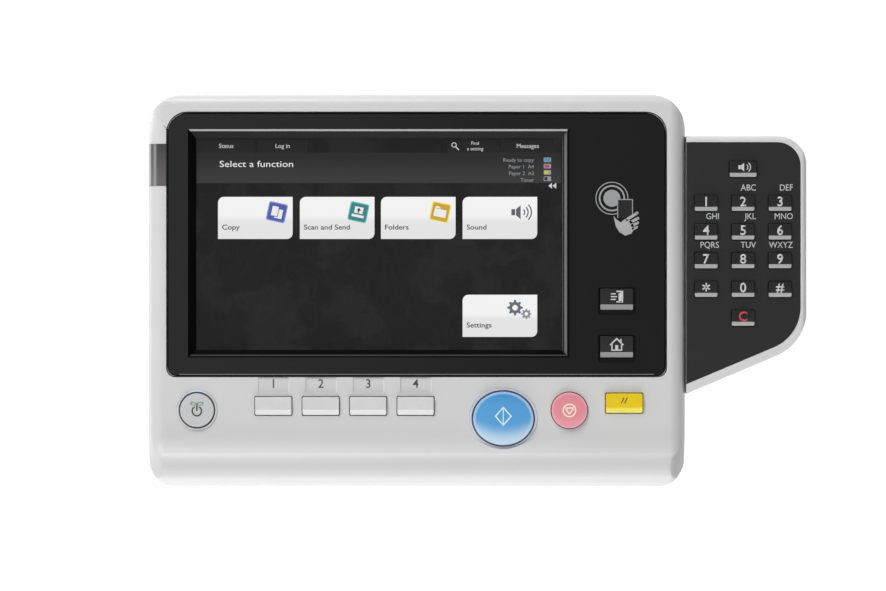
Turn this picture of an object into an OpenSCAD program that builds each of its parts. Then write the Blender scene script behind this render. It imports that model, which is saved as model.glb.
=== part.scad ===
// Operator control panel of an office copier, on its tilting hinge bracket.
// The face looks along -Y, +X is to the right and +Z is up. Every depth below is
// counted forward (-Y) from the flat rear face of the mounting bracket.

/* [Main housing] */
// Width of the main housing
housing_w = 291.3; // [285:0.1:350]
// Height of the main housing
housing_h = 212; // [208:1:260]
// Depth from the back face to the flat front face
housing_t = 34; // [32:1:44]
// Depth of the rear cover, up to the line where the two covers meet
rear_cover_t = 14; // [12:1:18]
// Wall thickness of both covers
wall = 2.5; // [2:0.1:3]
// Radius of the two upper corners, seen from the front
top_corner_r = 20; // [14:1:26]
// Radius of the two lower corners, seen from the front
low_corner_r = 15; // [12:1:20]
// Lean of the sides beside the hand rest, in degrees
side_lean = 2.76; // [0.5:0.01:4]
// Rounding of the front edges, seen from above
plan_r = 14; // [10:1:16]
// Rounding of the back edges and of the upper front edge
edge_r = 6; // [5:0.5:8]
// How far the hand rest stands in front of the flat face
rest_out = 6; // [3:0.5:8]
// Radius of the hand rest's nose
rest_r = 11; // [10:0.5:13]
// Height of the run-out from the flat face to the middle of the nose
rest_run = 18.5; // [16:0.5:24]

/* [Display] */
// Strip of housing left and right of the bezel
bezel_margin = 11.55; // [11:0.05:14]
// Strip of housing above the bezel
bezel_drop = 10.5; // [10:0.5:14]
// Height of the bezel
bezel_h = 141.2; // [140:0.1:150]
// Radius of the bezel's upper corners
bezel_top_r = 10.8; // [6:0.2:12]
// Radius of the bezel's lower corners
bezel_low_r = 4.3; // [3:0.1:8]
// How far the bezel stands proud of the flat face
bezel_proud = 0.3; // [0:0.1:1]
// Gap all round the bezel
bezel_gap = 0.5; // [0.3:0.1:1]
// Width of the bezel's hidden rear flange
bezel_flange = 1.5; // [1:0.1:2]
// Width of the window's mouth
window_w = 206; // [200:0.5:210]
// Height of the window's mouth
window_h = 123.7; // [120:0.1:128]
// Distance from the bezel's left edge to the window
window_left = 10.7; // [10:0.1:14]
// Distance from the bezel's upper edge to the window
window_drop = 8; // [7:0.5:12]
// Width of the sloping window edge left and right
slope_side = 4.1; // [3:0.1:6]
// Width of the sloping window edge at the top
slope_top = 5; // [3:0.1:6]
// Width of the sloping window edge at the bottom
slope_low = 4; // [3:0.1:6]
// Depth of the sloping window edge
slope_t = 4; // [3:0.1:4.4]
// Thickness of the touch glass
glass_t = 1.8; // [1.1:0.1:2.4]
// Thickness of the display cell
cell_t = 2.4; // [1.6:0.1:3]
// Thickness of the backlight's light guide
backlight_t = 4; // [3:0.5:5]

/* [Status lamp] */
// Height of the status lamp's lens
lamp_h = 22.7; // [18:0.1:30]
// Distance from the top of the housing to the lens
lamp_drop = 26.8; // [24:0.1:34]

/* [Hard keys] */
// Travel of the hard keys
key_travel = 1.2; // [0.8:0.1:1.4]
// How far the hard keys stand proud of the face
key_proud = 2; // [1.6:0.1:3]
// Gap round each key
key_gap = 0.35; // [0.3:0.05:0.6]
// Radius of the power key
power_r = 9.1; // [7:0.1:10]
// Outer radius of the ring round the power key
power_ring_r = 10.8; // [10.3:0.1:12]
// Width of a function key
function_w = 19.7; // [16:0.1:22]
// Height of a function key
function_h = 9.8; // [8:0.1:12]
// Distance between function keys
function_pitch = 25.6; // [23:0.1:28]
// Half width of the start key
start_a = 16.3; // [13:0.1:17]
// Half height of the start key
start_b = 14.4; // [12:0.1:15]
// Width of the light ring round the start key
start_ring_w = 1.7; // [1.2:0.1:2.2]
// Radius of the stop key
stop_r = 9.7; // [7:0.1:10.5]
// Width of the reset key
reset_w = 19.9; // [16:0.1:22]
// Height of the reset key
reset_h = 10.5; // [8:0.1:12]
// Width of the two keys on the bezel
menu_w = 17.9; // [15:0.1:19]
// Height of the two keys on the bezel
menu_h = 11.5; // [9:0.1:12]

/* [Keypad wing] */
// Width of the keypad wing
wing_w = 65.2; // [64:0.1:80]
// Thickness of the keypad wing
wing_t = 19; // [18:0.5:23]
// How far the wing's rim lies behind the housing's flat face
wing_back = 4; // [3:0.5:6]
// Height of the wing's upper edge over the housing's middle
wing_top = 83.6; // [83:0.1:90]
// Height at which the slanted lower edge meets the housing, below the middle
wing_low = 56; // [55:0.5:62]
// Rise of the slanted lower edge, in degrees
wing_slant = 22.85; // [16:0.05:26]
// Radius of the wing's upper corner
wing_top_r = 16; // [12:0.5:20]
// Radius where the right side turns into the slanted edge
wing_low_r = 27; // [20:0.5:30]
// Width of the wing's rim on its straight sides
rim_w = 3.3; // [3:0.1:4]
// Width of the wing's rim along the slanted edge
rim_slant_w = 4.7; // [4:0.1:6]
// Travel of the keypad's keys
pad_travel = 1; // [0.6:0.1:1.1]
// Distance between the keypad's columns
pad_pitch_x = 20; // [17.5:0.1:20.4]
// Distance between the keypad's rows
pad_pitch_z = 15.5; // [12:0.1:16]
// Width of a keypad key
pad_key_w = 12.4; // [10:0.1:13.5]
// Height of a keypad key
pad_key_h = 8.4; // [7:0.1:9]

/* [Hinge and bracket] */
// Width of the mounting bracket's plate
plate_w = 180; // [170:1:200]
// Thickness of the mounting bracket's sheet
plate_t = 3; // [2.5:0.1:4]
// Distance between the mounting bolts, across
bolt_x = 140; // [120:5:150]
// Distance between the mounting bolts, up and down
bolt_z = 80; // [60:5:90]
// Radius of the mounting bolts' holes
bolt_hole_r = 3.25; // [2.25:0.25:4.25]
// Distance of the hinge's axis from the bracket's rear face
pivot_d = 20; // [18:0.5:26]
// Distance of the hinge's axis below the top of the housing
pivot_drop = 20; // [18:0.5:24]
// Radius of the hinge pins
pin_r = 3; // [2.5:0.25:4]
// Running clearance between a hinge pin and its leaf
pin_clearance = 0.05; // [0.02:0.01:0.1]
// Radius of the hinge's ears
ear_r = 9; // [8:0.5:10]
// Distance of the bracket's ears from the middle
ear_x = 70; // [60:1:78]
// Gap between the hinge's ears and the panel's back
back_gap = 2; // [1.5:0.5:4]

/* [Hidden] */
$fn = 64;

// Small amount by which cuts run past the faces they cut
past = 1;
hair = 0.3;

// Housing
left = -housing_w / 2;
right = housing_w / 2;
top = housing_h / 2;
bottom = -housing_h / 2;
back_d = pivot_d + ear_r + back_gap;
front_d = back_d + housing_t;
split_d = back_d + rear_cover_t;
inner_d = front_d - wall;
nose_front_d = front_d + rest_out;
nose_d = nose_front_d - rest_r;
nose_z = bottom + rest_r;
flat_low_z = nose_z + rest_run;
// Radius of the hollow curve that joins the flat face to the nose
run_off = front_d - nose_d;
run_r = (run_off * run_off + rest_run * rest_run - rest_r * rest_r)
      / (2 * (rest_r - run_off));
run_steps = 8;

// Bezel and window
bezel_x0 = left + bezel_margin;
bezel_x1 = right - bezel_margin;
bezel_z1 = top - bezel_drop;
bezel_z0 = bezel_z1 - bezel_h;
bezel_d = front_d + bezel_proud;
window_x0 = bezel_x0 + window_left;
window_x1 = window_x0 + window_w;
window_z1 = bezel_z1 - window_drop;
window_z0 = window_z1 - window_h;
window_d = bezel_d - slope_t;
bezel_back_d = window_d - 0.8;
gasket_t = 0.8;
glass_border = 2.2;
glass_d1 = bezel_back_d - gasket_t;
glass_d0 = glass_d1 - glass_t;
cell_d1 = glass_d0 - 0.2;
cell_d0 = cell_d1 - cell_t;
light_d0 = cell_d0 - backlight_t;
tray_t = 1;
tray_d0 = light_d0 - tray_t;
carrier_t = 1.2;
carrier_d0 = tray_d0 - carrier_t;
tray_fit = 0.3;
post_r = 3;
post_out = 4;
post_x = [window_x0 - glass_border - post_out, window_x1 + glass_border + post_out];
post_z = [window_z0 - 1.8, window_z1 - 2.5];

// Screws shared by the covers, the display carrier and the keypad
screw_r = 1.25;
screw_fit = 0.05;
screw_head_r = 2.8;
screw_head_t = 2;
screw_l = 10;
screw_boss_r = 3.2;
screw_seat_d = split_d - 3;
screw_side_x = right - wall - screw_boss_r - 0.05;
screw_top_z = top - 18;
screw_mid_z = bezel_z0 + 15;
screw_low_x = right - 45.65;
screw_low_z = nose_z + 3;
cover_screw_spots = [
  [-screw_side_x, screw_top_z], [screw_side_x, screw_top_z],
  [-screw_side_x, screw_mid_z], [screw_side_x, screw_mid_z],
  [-screw_low_x, screw_low_z], [screw_low_x, screw_low_z]
];

// Hard keys: the board behind them and the switches on it
board_t = 1.6;
key_flange = 1;
key_flange_t = 2;
key_back_d = inner_d - 0.3 - key_flange_t;
stem_r = 2;
stem_d = key_back_d - 1.3;
switch_h = 3.5;
switch_d1 = stem_d - key_travel - 0.5;
key_board_d0 = switch_d1 - switch_h - board_t;
key_board_d1 = key_board_d0 + board_t;
power_x = left + 27.15;
power_z = bezel_z0 - 18.9;
function_x = left + 68.35;
function_z = bezel_z0 - 16.6;
start_x = right - 98.85;
start_z = bezel_z0 - 23.3;
stop_x = right - 63.15;
stop_z = bezel_z0 - 19;
reset_x = right - 33.55;
reset_z = bezel_z0 - 15.1;
menu_x = bezel_x1 - 26;
access_z = bezel_z0 + 40.9;
home_z = bezel_z0 + 15.2;
menu_recess = [20.2, 14.6];
menu_recess_t = 1.3;
menu_shift = 0.9;
tab_w = 16.4;
tab_h = 9.1;
tab_t = 0.5;
lens_z1 = top - lamp_drop;
lens_z0 = lens_z1 - lamp_h;
lens_back_d = front_d - 15;
lens_fit = 0.1;
opening_x0 = bezel_x0 - bezel_gap;

// Rings round the power key and the start key
ring_flange = 1.4;
ring_flange_t = 1.6;
ring_proud = 0.6;

// Keypad wing
wing_x0 = right + 0.3;
wing_x1 = wing_x0 + wing_w;
wing_front_d = front_d - wing_back;
wing_d0 = wing_front_d - wing_t;
wing_rear_d = wing_d0 + wall;
plate_front_d = wing_front_d - 0.4;
pad_plate_t = 2.4;
plate_back_d = plate_front_d - pad_plate_t;
pad_gap = 0.35;
pad_proud = 1.8;
pad_flange_t = 1.3;
pad_flange_d = plate_back_d - 0.3;
dome_h = 1.6;
dome_d1 = pad_flange_d - pad_flange_t - pad_travel - 0.2;
mat_t = 1.2;
pad_board_d1 = dome_d1 - dome_h - mat_t;
pad_board_d0 = pad_board_d1 - board_t;
pad_x = wing_x0 + 30.65;
pad_top_z = wing_top - 36.4;
pad_row_z = [for (i = [0:3]) pad_top_z - i * pad_pitch_z];
pad_col_x = [for (i = [-1:1]) pad_x + i * pad_pitch_x];
clear_z = pad_row_z[3] - 15.6;
sound_z = wing_top - 18;
sound_w = 14.7;
pad_board_x = [wing_x0 + 3.6, wing_x1 - 9.6];
pad_board_z = [clear_z - 7, wing_top - 13];
wing_screw_x = [wing_x0 + 5, wing_x1 - 5.6];
wing_screw_spots = [
  [wing_screw_x[0], wing_top - 9.4], [wing_screw_x[1], wing_top - 12.5],
  [wing_screw_x[0], -wing_low + 14], [wing_screw_x[1], clear_z + 0.4]
];

// Ribbon between the key board and the keypad's board
ribbon_t = 0.3;
ribbon_w = 18;
ribbon_z = 11;
ribbon_d1 = pad_board_d0 - 0.5;
ribbon_x = [menu_x + 11, pad_board_x[0] + 7.5];

// Hinge
pivot_z = top - pivot_drop;
ear_t = 3;
leaf_t = 2.5;
washer_t = 1;
spring_t = 1.2;
nut_t = 5;
hinge_slack = 0.05;
leaf_x = ear_x + ear_t + washer_t + hinge_slack;
spring_x = leaf_x + leaf_t + hinge_slack + washer_t;
nut_x = spring_x + spring_t;
leaf_foot_w = 26;
leaf_foot_h = 48;
leaf_screw_spots = [
  [leaf_x + 9, pivot_z - 8], [leaf_x + 20, pivot_z - 20], [leaf_x + 9, pivot_z - 32]
];
leaf_screw_r = 1.45;
leaf_screw_l = 8;
plate_top_z = pivot_z + ear_r;
plate_low_z = -bolt_z / 2 - 20;

// Boards, speaker and cable inlet at the rear
main_board_x = [-100, 60];
main_board_z = [-40, 44];
main_board_d0 = back_d + wall + 4.5;
main_board_d1 = main_board_d0 + board_t;
stake_r = 1.4;
stake_fit = 0.1;
speaker_x = left + 35.65;
speaker_z = bottom + 46;
speaker_r = 17;
inlet_x = 20;
inlet_z = pivot_z - 20;
inlet_r = 9;
inlet_bore_r = 5;

// Steel link that carries the keypad wing
link_t = 2;
link_z = [-12, 46];
link_x0 = right - 42;
link_x1 = wing_x0 + 38;
link_screw_x = [link_x0 + 8, link_x0 + 28];
link_pad_x = [wing_x0 + 18, wing_x0 + 31];

// ---------- helpers ----------

// Extrudes a front-view outline (x, z) from depth d0 forward to depth d1
module slab(d0, d1) {
  translate([0, -d0, 0]) rotate([90, 0, 0]) linear_extrude(d1 - d0) children();
}

// Extrudes a side-view profile (depth, z) from x0 to x1
module across(x0, x1) {
  translate([x0, 0, 0]) mirror([0, 1, 0]) rotate([90, 0, 90])
    linear_extrude(x1 - x0) children();
}

// Extrudes a plan (x, depth) from z0 up to z1
module upright(z0, z1) {
  translate([0, 0, z0]) mirror([0, 1, 0]) linear_extrude(z1 - z0) children();
}

// Round bar along the depth axis
module bar(x, z, r, d0, d1) {
  slab(d0, d1) translate([x, z]) circle(r);
}

// Round bar along the width axis
module axle(x0, x1, r, d, z) {
  across(x0, x1) translate([d, z]) circle(r);
}

// Turns a profile (radius, distance forward) about the depth axis at x, z
module turned(x, z, d) {
  translate([x, -d, z]) rotate([90, 0, 0]) rotate_extrude() children();
}

function low_corner(x, y, r, s) =
  r > 0 ? (s > 0 ? [[x, y + r], [x + r, y]] : [[x - r, y], [x, y + r]]) : [[x, y]];
function high_corner(x, y, r, s) =
  r > 0 ? (s > 0 ? [[x + r, y], [x, y - r]] : [[x, y - r], [x - r, y]]) : [[x, y]];

// Rectangle whose corners have their own radii: lower left, lower right,
// upper right, upper left
module round_box(x0, y0, x1, y1, r) {
  polygon(concat(low_corner(x0, y0, r[0], 1), low_corner(x1, y0, r[1], -1),
                 high_corner(x1, y1, r[2], -1), high_corner(x0, y1, r[3], 1)));
  if (r[0] > 0) translate([x0 + r[0], y0 + r[0]]) circle(r[0]);
  if (r[1] > 0) translate([x1 - r[1], y0 + r[1]]) circle(r[1]);
  if (r[2] > 0) translate([x1 - r[2], y1 - r[2]]) circle(r[2]);
  if (r[3] > 0) translate([x0 + r[3], y1 - r[3]]) circle(r[3]);
}

// Rectangle centred on x, z
module plate_2d(x, z, w, h, r = 1) {
  round_box(x - w / 2, z - h / 2, x + w / 2, z + h / 2, [r, r, r, r]);
}

// Plain rectangle between two corners
module rect(x0, y0, x1, y1) {
  translate([x0, y0]) square([x1 - x0, y1 - y0]);
}

// Hexagon with the given distance across its flats
module hexagon(flats) {
  rotate(30) circle(d = flats / cos(30), $fn = 6);
}

// ---------- housing shape ----------

// Front view of the housing, set in by i. Beside the hand rest its sides lean in.
module housing_outline(i) {
  r = low_corner_r - i;
  cz = bottom + low_corner_r;
  lean_x = right - (flat_low_z - cz) * tan(side_lean);
  cx = lean_x - low_corner_r / cos(side_lean);
  side_x = right - i;
  touch_x = cx + r * cos(side_lean);
  touch_z = cz - r * sin(side_lean);
  polygon([
    [-side_x, flat_low_z + past], [-side_x, flat_low_z], [-touch_x, touch_z],
    [-cx, bottom + i], [cx, bottom + i], [touch_x, touch_z],
    [side_x, flat_low_z], [side_x, flat_low_z + past]
  ]);
  for (s = [-1, 1]) translate([s * cx, cz]) circle(r);
  round_box(-side_x, flat_low_z, side_x, top - i,
            [0, 0, top_corner_r - i, top_corner_r - i]);
}

// Side view: flat face, hollow run-out and the nose of the hand rest
module housing_profile(i) {
  r = edge_r - i;
  swing = atan2(rest_run, front_d + run_r - nose_d);
  sunk = (rest_r - i - 0.4) / (rest_r + run_r);
  run_out = [for (k = [run_steps - 1:-1:0]) let (a = swing * k / run_steps)
    [front_d + run_r - (run_r + i) * cos(a), flat_low_z - (run_r + i) * sin(a)]];
  polygon(concat(
    low_corner(back_d + i, bottom + i, r, 1), [[nose_d, bottom + i]],
    [[nose_d + sunk * (front_d + run_r - nose_d), nose_z + sunk * rest_run]], run_out,
    high_corner(front_d - i, top - i, r, -1), high_corner(back_d + i, top - i, r, 1)
  ));
  for (c = [[back_d + edge_r, bottom + edge_r], [back_d + edge_r, top - edge_r],
            [front_d - edge_r, top - edge_r]]) translate(c) circle(r);
  translate([nose_d, nose_z]) circle(rest_r - i);
}

// View from above, with rounded front and back edges. It stands a hair wider than
// the other two views, so that no two of their faces coincide.
module housing_plan(i) {
  x1 = right - i + hair;
  round_box(-x1, back_d + i - hair, x1, nose_front_d - i + hair,
            [edge_r - i, edge_r - i, plan_r - i, plan_r - i]);
}

// The same view of the hollow inside, with bevelled corners
module hollow_plan(i) {
  x1 = right - i + hair;
  b = 0.5 * edge_r;
  f = 0.55 * plan_r;
  d0 = back_d + i - hair;
  d1 = nose_front_d - i + hair;
  polygon([[-x1 + b, d0], [x1 - b, d0], [x1, d0 + b], [x1, d1 - f],
           [x1 - f, d1], [-x1 + f, d1], [-x1, d1 - f], [-x1, d0 + b]]);
}

// The closed outer form of the housing
module housing_form() {
  intersection() {
    slab(back_d - past, nose_front_d + past) housing_outline(0);
    across(left - past, right + past) housing_profile(0);
    upright(bottom - past, top + past) housing_plan(0);
  }
}

// The hollow inside the housing's walls
module housing_hollow() {
  intersection() {
    slab(back_d - past, nose_front_d + past) housing_outline(wall);
    across(left - past, right + past) housing_profile(wall);
    upright(bottom - past, top + past) hollow_plan(wall);
  }
}

// Everything between two depths
module layer(d0, d1) {
  slab(d0, d1) rect(left - past, bottom - past, right + past, top + past);
}

module bezel_outline(gap = 0) {
  round_box(bezel_x0 - gap, bezel_z0 - gap, bezel_x1 + gap, bezel_z1 + gap,
            [bezel_low_r + gap, bezel_low_r + gap, bezel_top_r + gap, bezel_top_r + gap]);
}

// Outlines of the hard keys; grow widens them all round
module power_outline(grow = 0) {
  translate([power_x, power_z]) circle(power_r + grow);
}
module function_outline(n, grow = 0) {
  plate_2d(function_x + (n - 1) * function_pitch, function_z,
           function_w + 2 * grow, function_h + 2 * grow, 0.8 + grow);
}
module start_outline(grow = 0) {
  translate([start_x, start_z]) scale([(start_a + grow) / (start_b + grow), 1])
    circle(start_b + grow);
}
module stop_outline(grow = 0) {
  translate([stop_x, stop_z]) circle(stop_r + grow);
}
module reset_outline(grow = 0) {
  plate_2d(reset_x, reset_z, reset_w + 2 * grow, reset_h + 2 * grow, 0.8 + grow);
}
module menu_outline(z, grow = 0) {
  plate_2d(menu_x, z, menu_w + 2 * grow, menu_h + 2 * grow, 0.6 + grow);
}

// Cut that the status lamp's lens fills
module lens_cut() {
  slab(lens_back_d - lens_fit, nose_front_d)
    rect(left - past, lens_z0 - lens_fit, opening_x0 + lens_fit, lens_z1 + lens_fit);
}

// ---------- covers ----------

module front_cover() {
  color([0.86, 0.86, 0.85]) {
    difference() {
      intersection() {
        housing_form();
        layer(split_d, nose_front_d + past);
      }
      difference() {
        housing_hollow();
        front_bosses();
      }
      slab(inner_d - past, nose_front_d) bezel_outline(bezel_gap);
      lens_cut();
      key_cuts();
      ribbon_cut();
      for (p = cover_screw_spots) bar(p[0], p[1], screw_r + screw_fit, split_d - past,
                                      screw_seat_d + screw_l + 1);
    }
  }
}

module front_bosses() {
  for (p = cover_screw_spots) bar(p[0], p[1], screw_boss_r, split_d, nose_front_d);
  for (p = key_board_stakes()) {
    bar(p[0], p[1], 2.5, key_board_d1, nose_front_d);
    bar(p[0], p[1], stake_r, key_board_d0 - 0.6, nose_front_d);
  }
}

// Spots where the key board is staked to the front cover, clear of the keys
function key_board_stakes() = [
  [power_x + 15, power_z - 8], [function_x + 3.5 * function_pitch, function_z - 9],
  [stop_x - 13.5, stop_z + 9], [stop_x + 14, stop_z - 10]
];

module key_cuts() {
  slab(inner_d - past, nose_front_d) {
    translate([power_x, power_z]) circle(power_ring_r + 0.1);
    for (n = [1:4]) function_outline(n, key_gap);
    start_outline(key_gap + start_ring_w + 0.1);
    stop_outline(key_gap);
    reset_outline(key_gap);
  }
  for (n = [1:4]) slab(front_d - tab_t, front_d + past)
    rect(function_x + (n - 1) * function_pitch - tab_w / 2, bezel_z0 - tab_h,
         function_x + (n - 1) * function_pitch + tab_w / 2, bezel_z0);
}

// Slot in the facing side walls for the keypad's ribbon
module ribbon_cut() {
  slab(ribbon_d1 - 2, ribbon_d1 + 2.5)
    rect(right - wall - past, ribbon_z - ribbon_w / 2 - 2,
         wing_x0 + wall + past, ribbon_z + ribbon_w / 2 + 2);
}

module rear_cover() {
  color([0.8, 0.8, 0.79]) {
    difference() {
      intersection() {
        housing_form();
        layer(back_d - past, split_d);
      }
      difference() {
        housing_hollow();
        rear_bosses();
      }
      for (p = cover_screw_spots) {
        bar(p[0], p[1], screw_r + 0.25, back_d - past, split_d + past);
        bar(p[0], p[1], screw_head_r + 0.3, back_d - past, screw_seat_d);
      }
      for (p = leaf_screws()) bar(p[0], p[1], leaf_screw_r + screw_fit,
                                  back_d - past, back_d + leaf_screw_l - leaf_t + 0.5);
      for (p = link_screws()) bar(p[0], p[1], screw_r + screw_fit,
                                  back_d - past, back_d + screw_l - link_t + 0.5);
      bar(inlet_x, inlet_z, inlet_r, back_d - past, back_d + wall + past);
      vents();
      speaker_holes();
    }
  }
}

function leaf_screws() =
  [for (s = [-1, 1]) for (p = leaf_screw_spots) [s * p[0], p[1]]];
function link_screws() = [for (x = link_screw_x) [x, (link_z[0] + link_z[1]) / 2]];
function main_board_stakes() =
  [for (x = [main_board_x[0] + 6, main_board_x[1] - 6])
     for (z = [main_board_z[0] + 10, main_board_z[1] - 6]) [x, z]];

module rear_bosses() {
  for (p = cover_screw_spots) bar(p[0], p[1], screw_boss_r + 1.2, back_d, split_d);
  for (p = leaf_screws()) bar(p[0], p[1], 3.6, back_d, back_d + leaf_screw_l - leaf_t + 1.5);
  for (p = link_screws()) bar(p[0], p[1], 3.6, back_d, back_d + screw_l - link_t + 1.5);
  for (p = main_board_stakes()) {
    bar(p[0], p[1], 3, back_d, main_board_d0);
    bar(p[0], p[1], stake_r, back_d, main_board_d1 + 0.8);
  }
  difference() {
    bar(speaker_x, speaker_z, speaker_r + 2, back_d, back_d + wall + 3);
    bar(speaker_x, speaker_z, speaker_r + 0.1, back_d + wall, back_d + wall + 4);
  }
}

vent_w = 2;
vent_h = 26;
vent_count = 12;
vent_pitch = 6;

// Row of upright cooling slots low on the back
module vents() {
  for (i = [0:vent_count - 1])
    slab(back_d - past, back_d + wall + past)
      plate_2d(right - 60 - i * vent_pitch, bottom + 40, vent_w, vent_h, 0.9);
}

module speaker_holes() {
  for (ring = [0:2])
    for (i = [0:(ring == 0 ? 0 : 6 * ring - 1)])
      bar(speaker_x + 5 * ring * cos(i * 60 / max(ring, 1)),
          speaker_z + 5 * ring * sin(i * 60 / max(ring, 1)),
          1.1, back_d - past, back_d + wall + past);
}

module case_screw(x, z, seat_d, length) {
  turned(x, z, seat_d) union() {
    rect(0, 0, screw_r, length);
    rect(0, -screw_head_t, screw_head_r, 0);
  }
}

module case_screws() {
  color("dimgray") {
    for (p = cover_screw_spots) difference() {
      case_screw(p[0], p[1], screw_seat_d, screw_l);
      cross_recess(p[0], p[1], screw_seat_d);
    }
    for (x = post_x) for (z = post_z) difference() {
      case_screw(x, z, carrier_d0, screw_l);
      cross_recess(x, z, carrier_d0);
    }
  }
}

// Cross-shaped driver recess in a screw's head
module cross_recess(x, z, seat_d) {
  slab(seat_d - screw_head_t - past, seat_d - screw_head_t + 1.1) {
    rect(x - 1.6, z - 0.4, x + 1.6, z + 0.4);
    rect(x - 0.4, z - 1.6, x + 0.4, z + 1.6);
  }
}

// ---------- display ----------

// The window's mouth, narrowing towards the glass
module window_cut() {
  x0 = window_x0 + slope_side;
  x1 = window_x1 - slope_side;
  z0 = window_z0 + slope_low;
  z1 = window_z1 - slope_top;
  intersection() {
    across(window_x0 - 10, window_x1 + 10)
      polygon([[window_d, z0], [bezel_d, window_z0], [bezel_d + past, window_z0],
               [bezel_d + past, window_z1], [bezel_d, window_z1], [window_d, z1]]);
    upright(window_z0 - 10, window_z1 + 10)
      polygon([[x0, window_d], [window_x0, bezel_d], [window_x0, bezel_d + past],
               [window_x1, bezel_d + past], [window_x1, bezel_d], [x1, window_d]]);
  }
  slab(bezel_back_d - past, window_d + 0.01) rect(x0, z0, x1, z1);
}

module display_bezel() {
  color([0.05, 0.05, 0.055]) difference() {
    union() {
      slab(inner_d, bezel_d) bezel_outline();
      slab(inner_d - 1.6, inner_d) difference() {
        bezel_outline(bezel_gap + bezel_flange);
        rect(bezel_x0 + 3, bezel_z0 + 3, bezel_x1 - 3, bezel_z1 - 3);
      }
      slab(bezel_back_d, inner_d)
        rect(window_x0 - 2.5, window_z0 - 2.5, window_x1 + 2.5, window_z1 + 2.5);
      for (x = post_x) for (z = post_z) bar(x, z, post_r, carrier_d0 + carrier_t, inner_d);
    }
    window_cut();
    for (z = [access_z, home_z]) {
      slab(bezel_d - menu_recess_t, bezel_d + past)
        plate_2d(menu_x, z - menu_shift, menu_recess[0], menu_recess[1], 0.8);
      slab(inner_d - past, bezel_d + past) menu_outline(z, key_gap);
    }
    for (x = post_x) for (z = post_z)
      bar(x, z, screw_r + screw_fit, carrier_d0, carrier_d0 + screw_l + 0.5);
  }
}

glass_x = [window_x0 - glass_border / 2, window_x1 + glass_border / 2];
glass_z = [window_z0 - glass_border / 2, window_z1 + glass_border / 2];

module window_gasket() {
  color([0.12, 0.12, 0.12]) slab(glass_d1, bezel_back_d) difference() {
    rect(glass_x[0], glass_z[0], glass_x[1], glass_z[1]);
    rect(window_x0 + slope_side - 1.5, window_z0 + slope_low - 1.5,
         window_x1 - slope_side + 1.5, window_z1 - slope_top + 1.5);
  }
}

module touch_glass() {
  color([0.1, 0.1, 0.12]) slab(glass_d0, glass_d1)
    round_box(glass_x[0], glass_z[0], glass_x[1], glass_z[1], [1, 1, 1, 1]);
}

module lcd_cell() {
  color([0.08, 0.09, 0.12]) slab(cell_d0, cell_d1)
    rect(glass_x[0] + 1, glass_z[0] + 1, glass_x[1] - 1, glass_z[1] - 1);
}

module backlight_plate() {
  color([0.92, 0.94, 0.95]) slab(light_d0, cell_d0)
    rect(glass_x[0] + 1, glass_z[0] + 1, glass_x[1] - 1, glass_z[1] - 1);
}

// Pressed tray round the backlight and the cell; the glass rests on its rim
module lcd_frame() {
  color("silver") difference() {
    slab(tray_d0, glass_d0)
      rect(glass_x[0] - tray_t + 0.7, glass_z[0] - tray_t + 0.7,
           glass_x[1] + tray_t - 0.7, glass_z[1] + tray_t - 0.7);
    slab(light_d0, glass_d0 + past)
      rect(glass_x[0] + 1 - tray_fit, glass_z[0] + 1 - tray_fit,
           glass_x[1] - 1 + tray_fit, glass_z[1] - 1 + tray_fit);
  }
}

module lcd_bracket() {
  color("lightgray") slab(carrier_d0, carrier_d0 + carrier_t) difference() {
    round_box(post_x[0] - 5, post_z[0] - 5, post_x[1] + 5, post_z[1] + 5, [4, 4, 4, 4]);
    for (x = post_x) for (z = post_z) translate([x, z]) circle(screw_r + 0.25);
    for (s = [0:3])
      plate_2d(post_x[0] + 32 + s * 50, (post_z[0] + post_z[1]) / 2, 32, 70, 5);
  }
}

// ---------- boards ----------

module main_board() {
  x0 = main_board_x[0];
  x1 = main_board_x[1];
  z0 = main_board_z[0];
  color([0.1, 0.35, 0.2]) {
    difference() {
      slab(main_board_d0, main_board_d1)
        round_box(x0, z0, x1, main_board_z[1], [2, 2, 2, 2]);
      for (p = main_board_stakes())
        bar(p[0], p[1], stake_r + stake_fit, main_board_d0 - past, main_board_d1 + past);
    }
    slab(main_board_d1, main_board_d1 + 2) {
      plate_2d(x0 + 60, z0 + 48, 26, 26);
      plate_2d(x0 + 98, z0 + 52, 14, 20);
      plate_2d(x0 + 98, z0 + 26, 14, 10);
      rect(lcd_ribbon_x[0] - 1, z0, lcd_ribbon_x[1] + 1, z0 + 4);
    }
    slab(main_board_d1, main_board_d1 + 5) {
      rect(x1 - 20, z0 + 20, x1 - 6, z0 + 32);
      rect(x0 + 6, z0 + 30, x0 + 14, z0 + 50);
    }
    for (i = [0:3]) bar(x0 + 24, z0 + 24 + i * 12, 3.1, main_board_d1, main_board_d1 + 5);
  }
}

key_board_x = [left + 14, bezel_x1 - 3];
key_board_z = [bezel_z0 - 34, bezel_z0 - 6];
key_spots = [
  [power_x, power_z],
  for (n = [0:3]) [function_x + n * function_pitch, function_z],
  [start_x, start_z], [stop_x, stop_z], [reset_x, reset_z],
  [menu_x, access_z], [menu_x, home_z]
];

module key_board() {
  color([0.1, 0.35, 0.2]) {
    difference() {
      slab(key_board_d0, key_board_d1) {
        rect(key_board_x[0], key_board_z[0], key_board_x[1], key_board_z[1]);
        rect(menu_x - 13, key_board_z[0], menu_x + 13, access_z + 12);
      }
      for (p = key_board_stakes())
        bar(p[0], p[1], stake_r + stake_fit, key_board_d0 - past, key_board_d1 + past);
    }
    slab(ribbon_d1, key_board_d0)
      rect(ribbon_x[0], access_z + 2, menu_x + 13, access_z + 11);
  }
}

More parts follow.
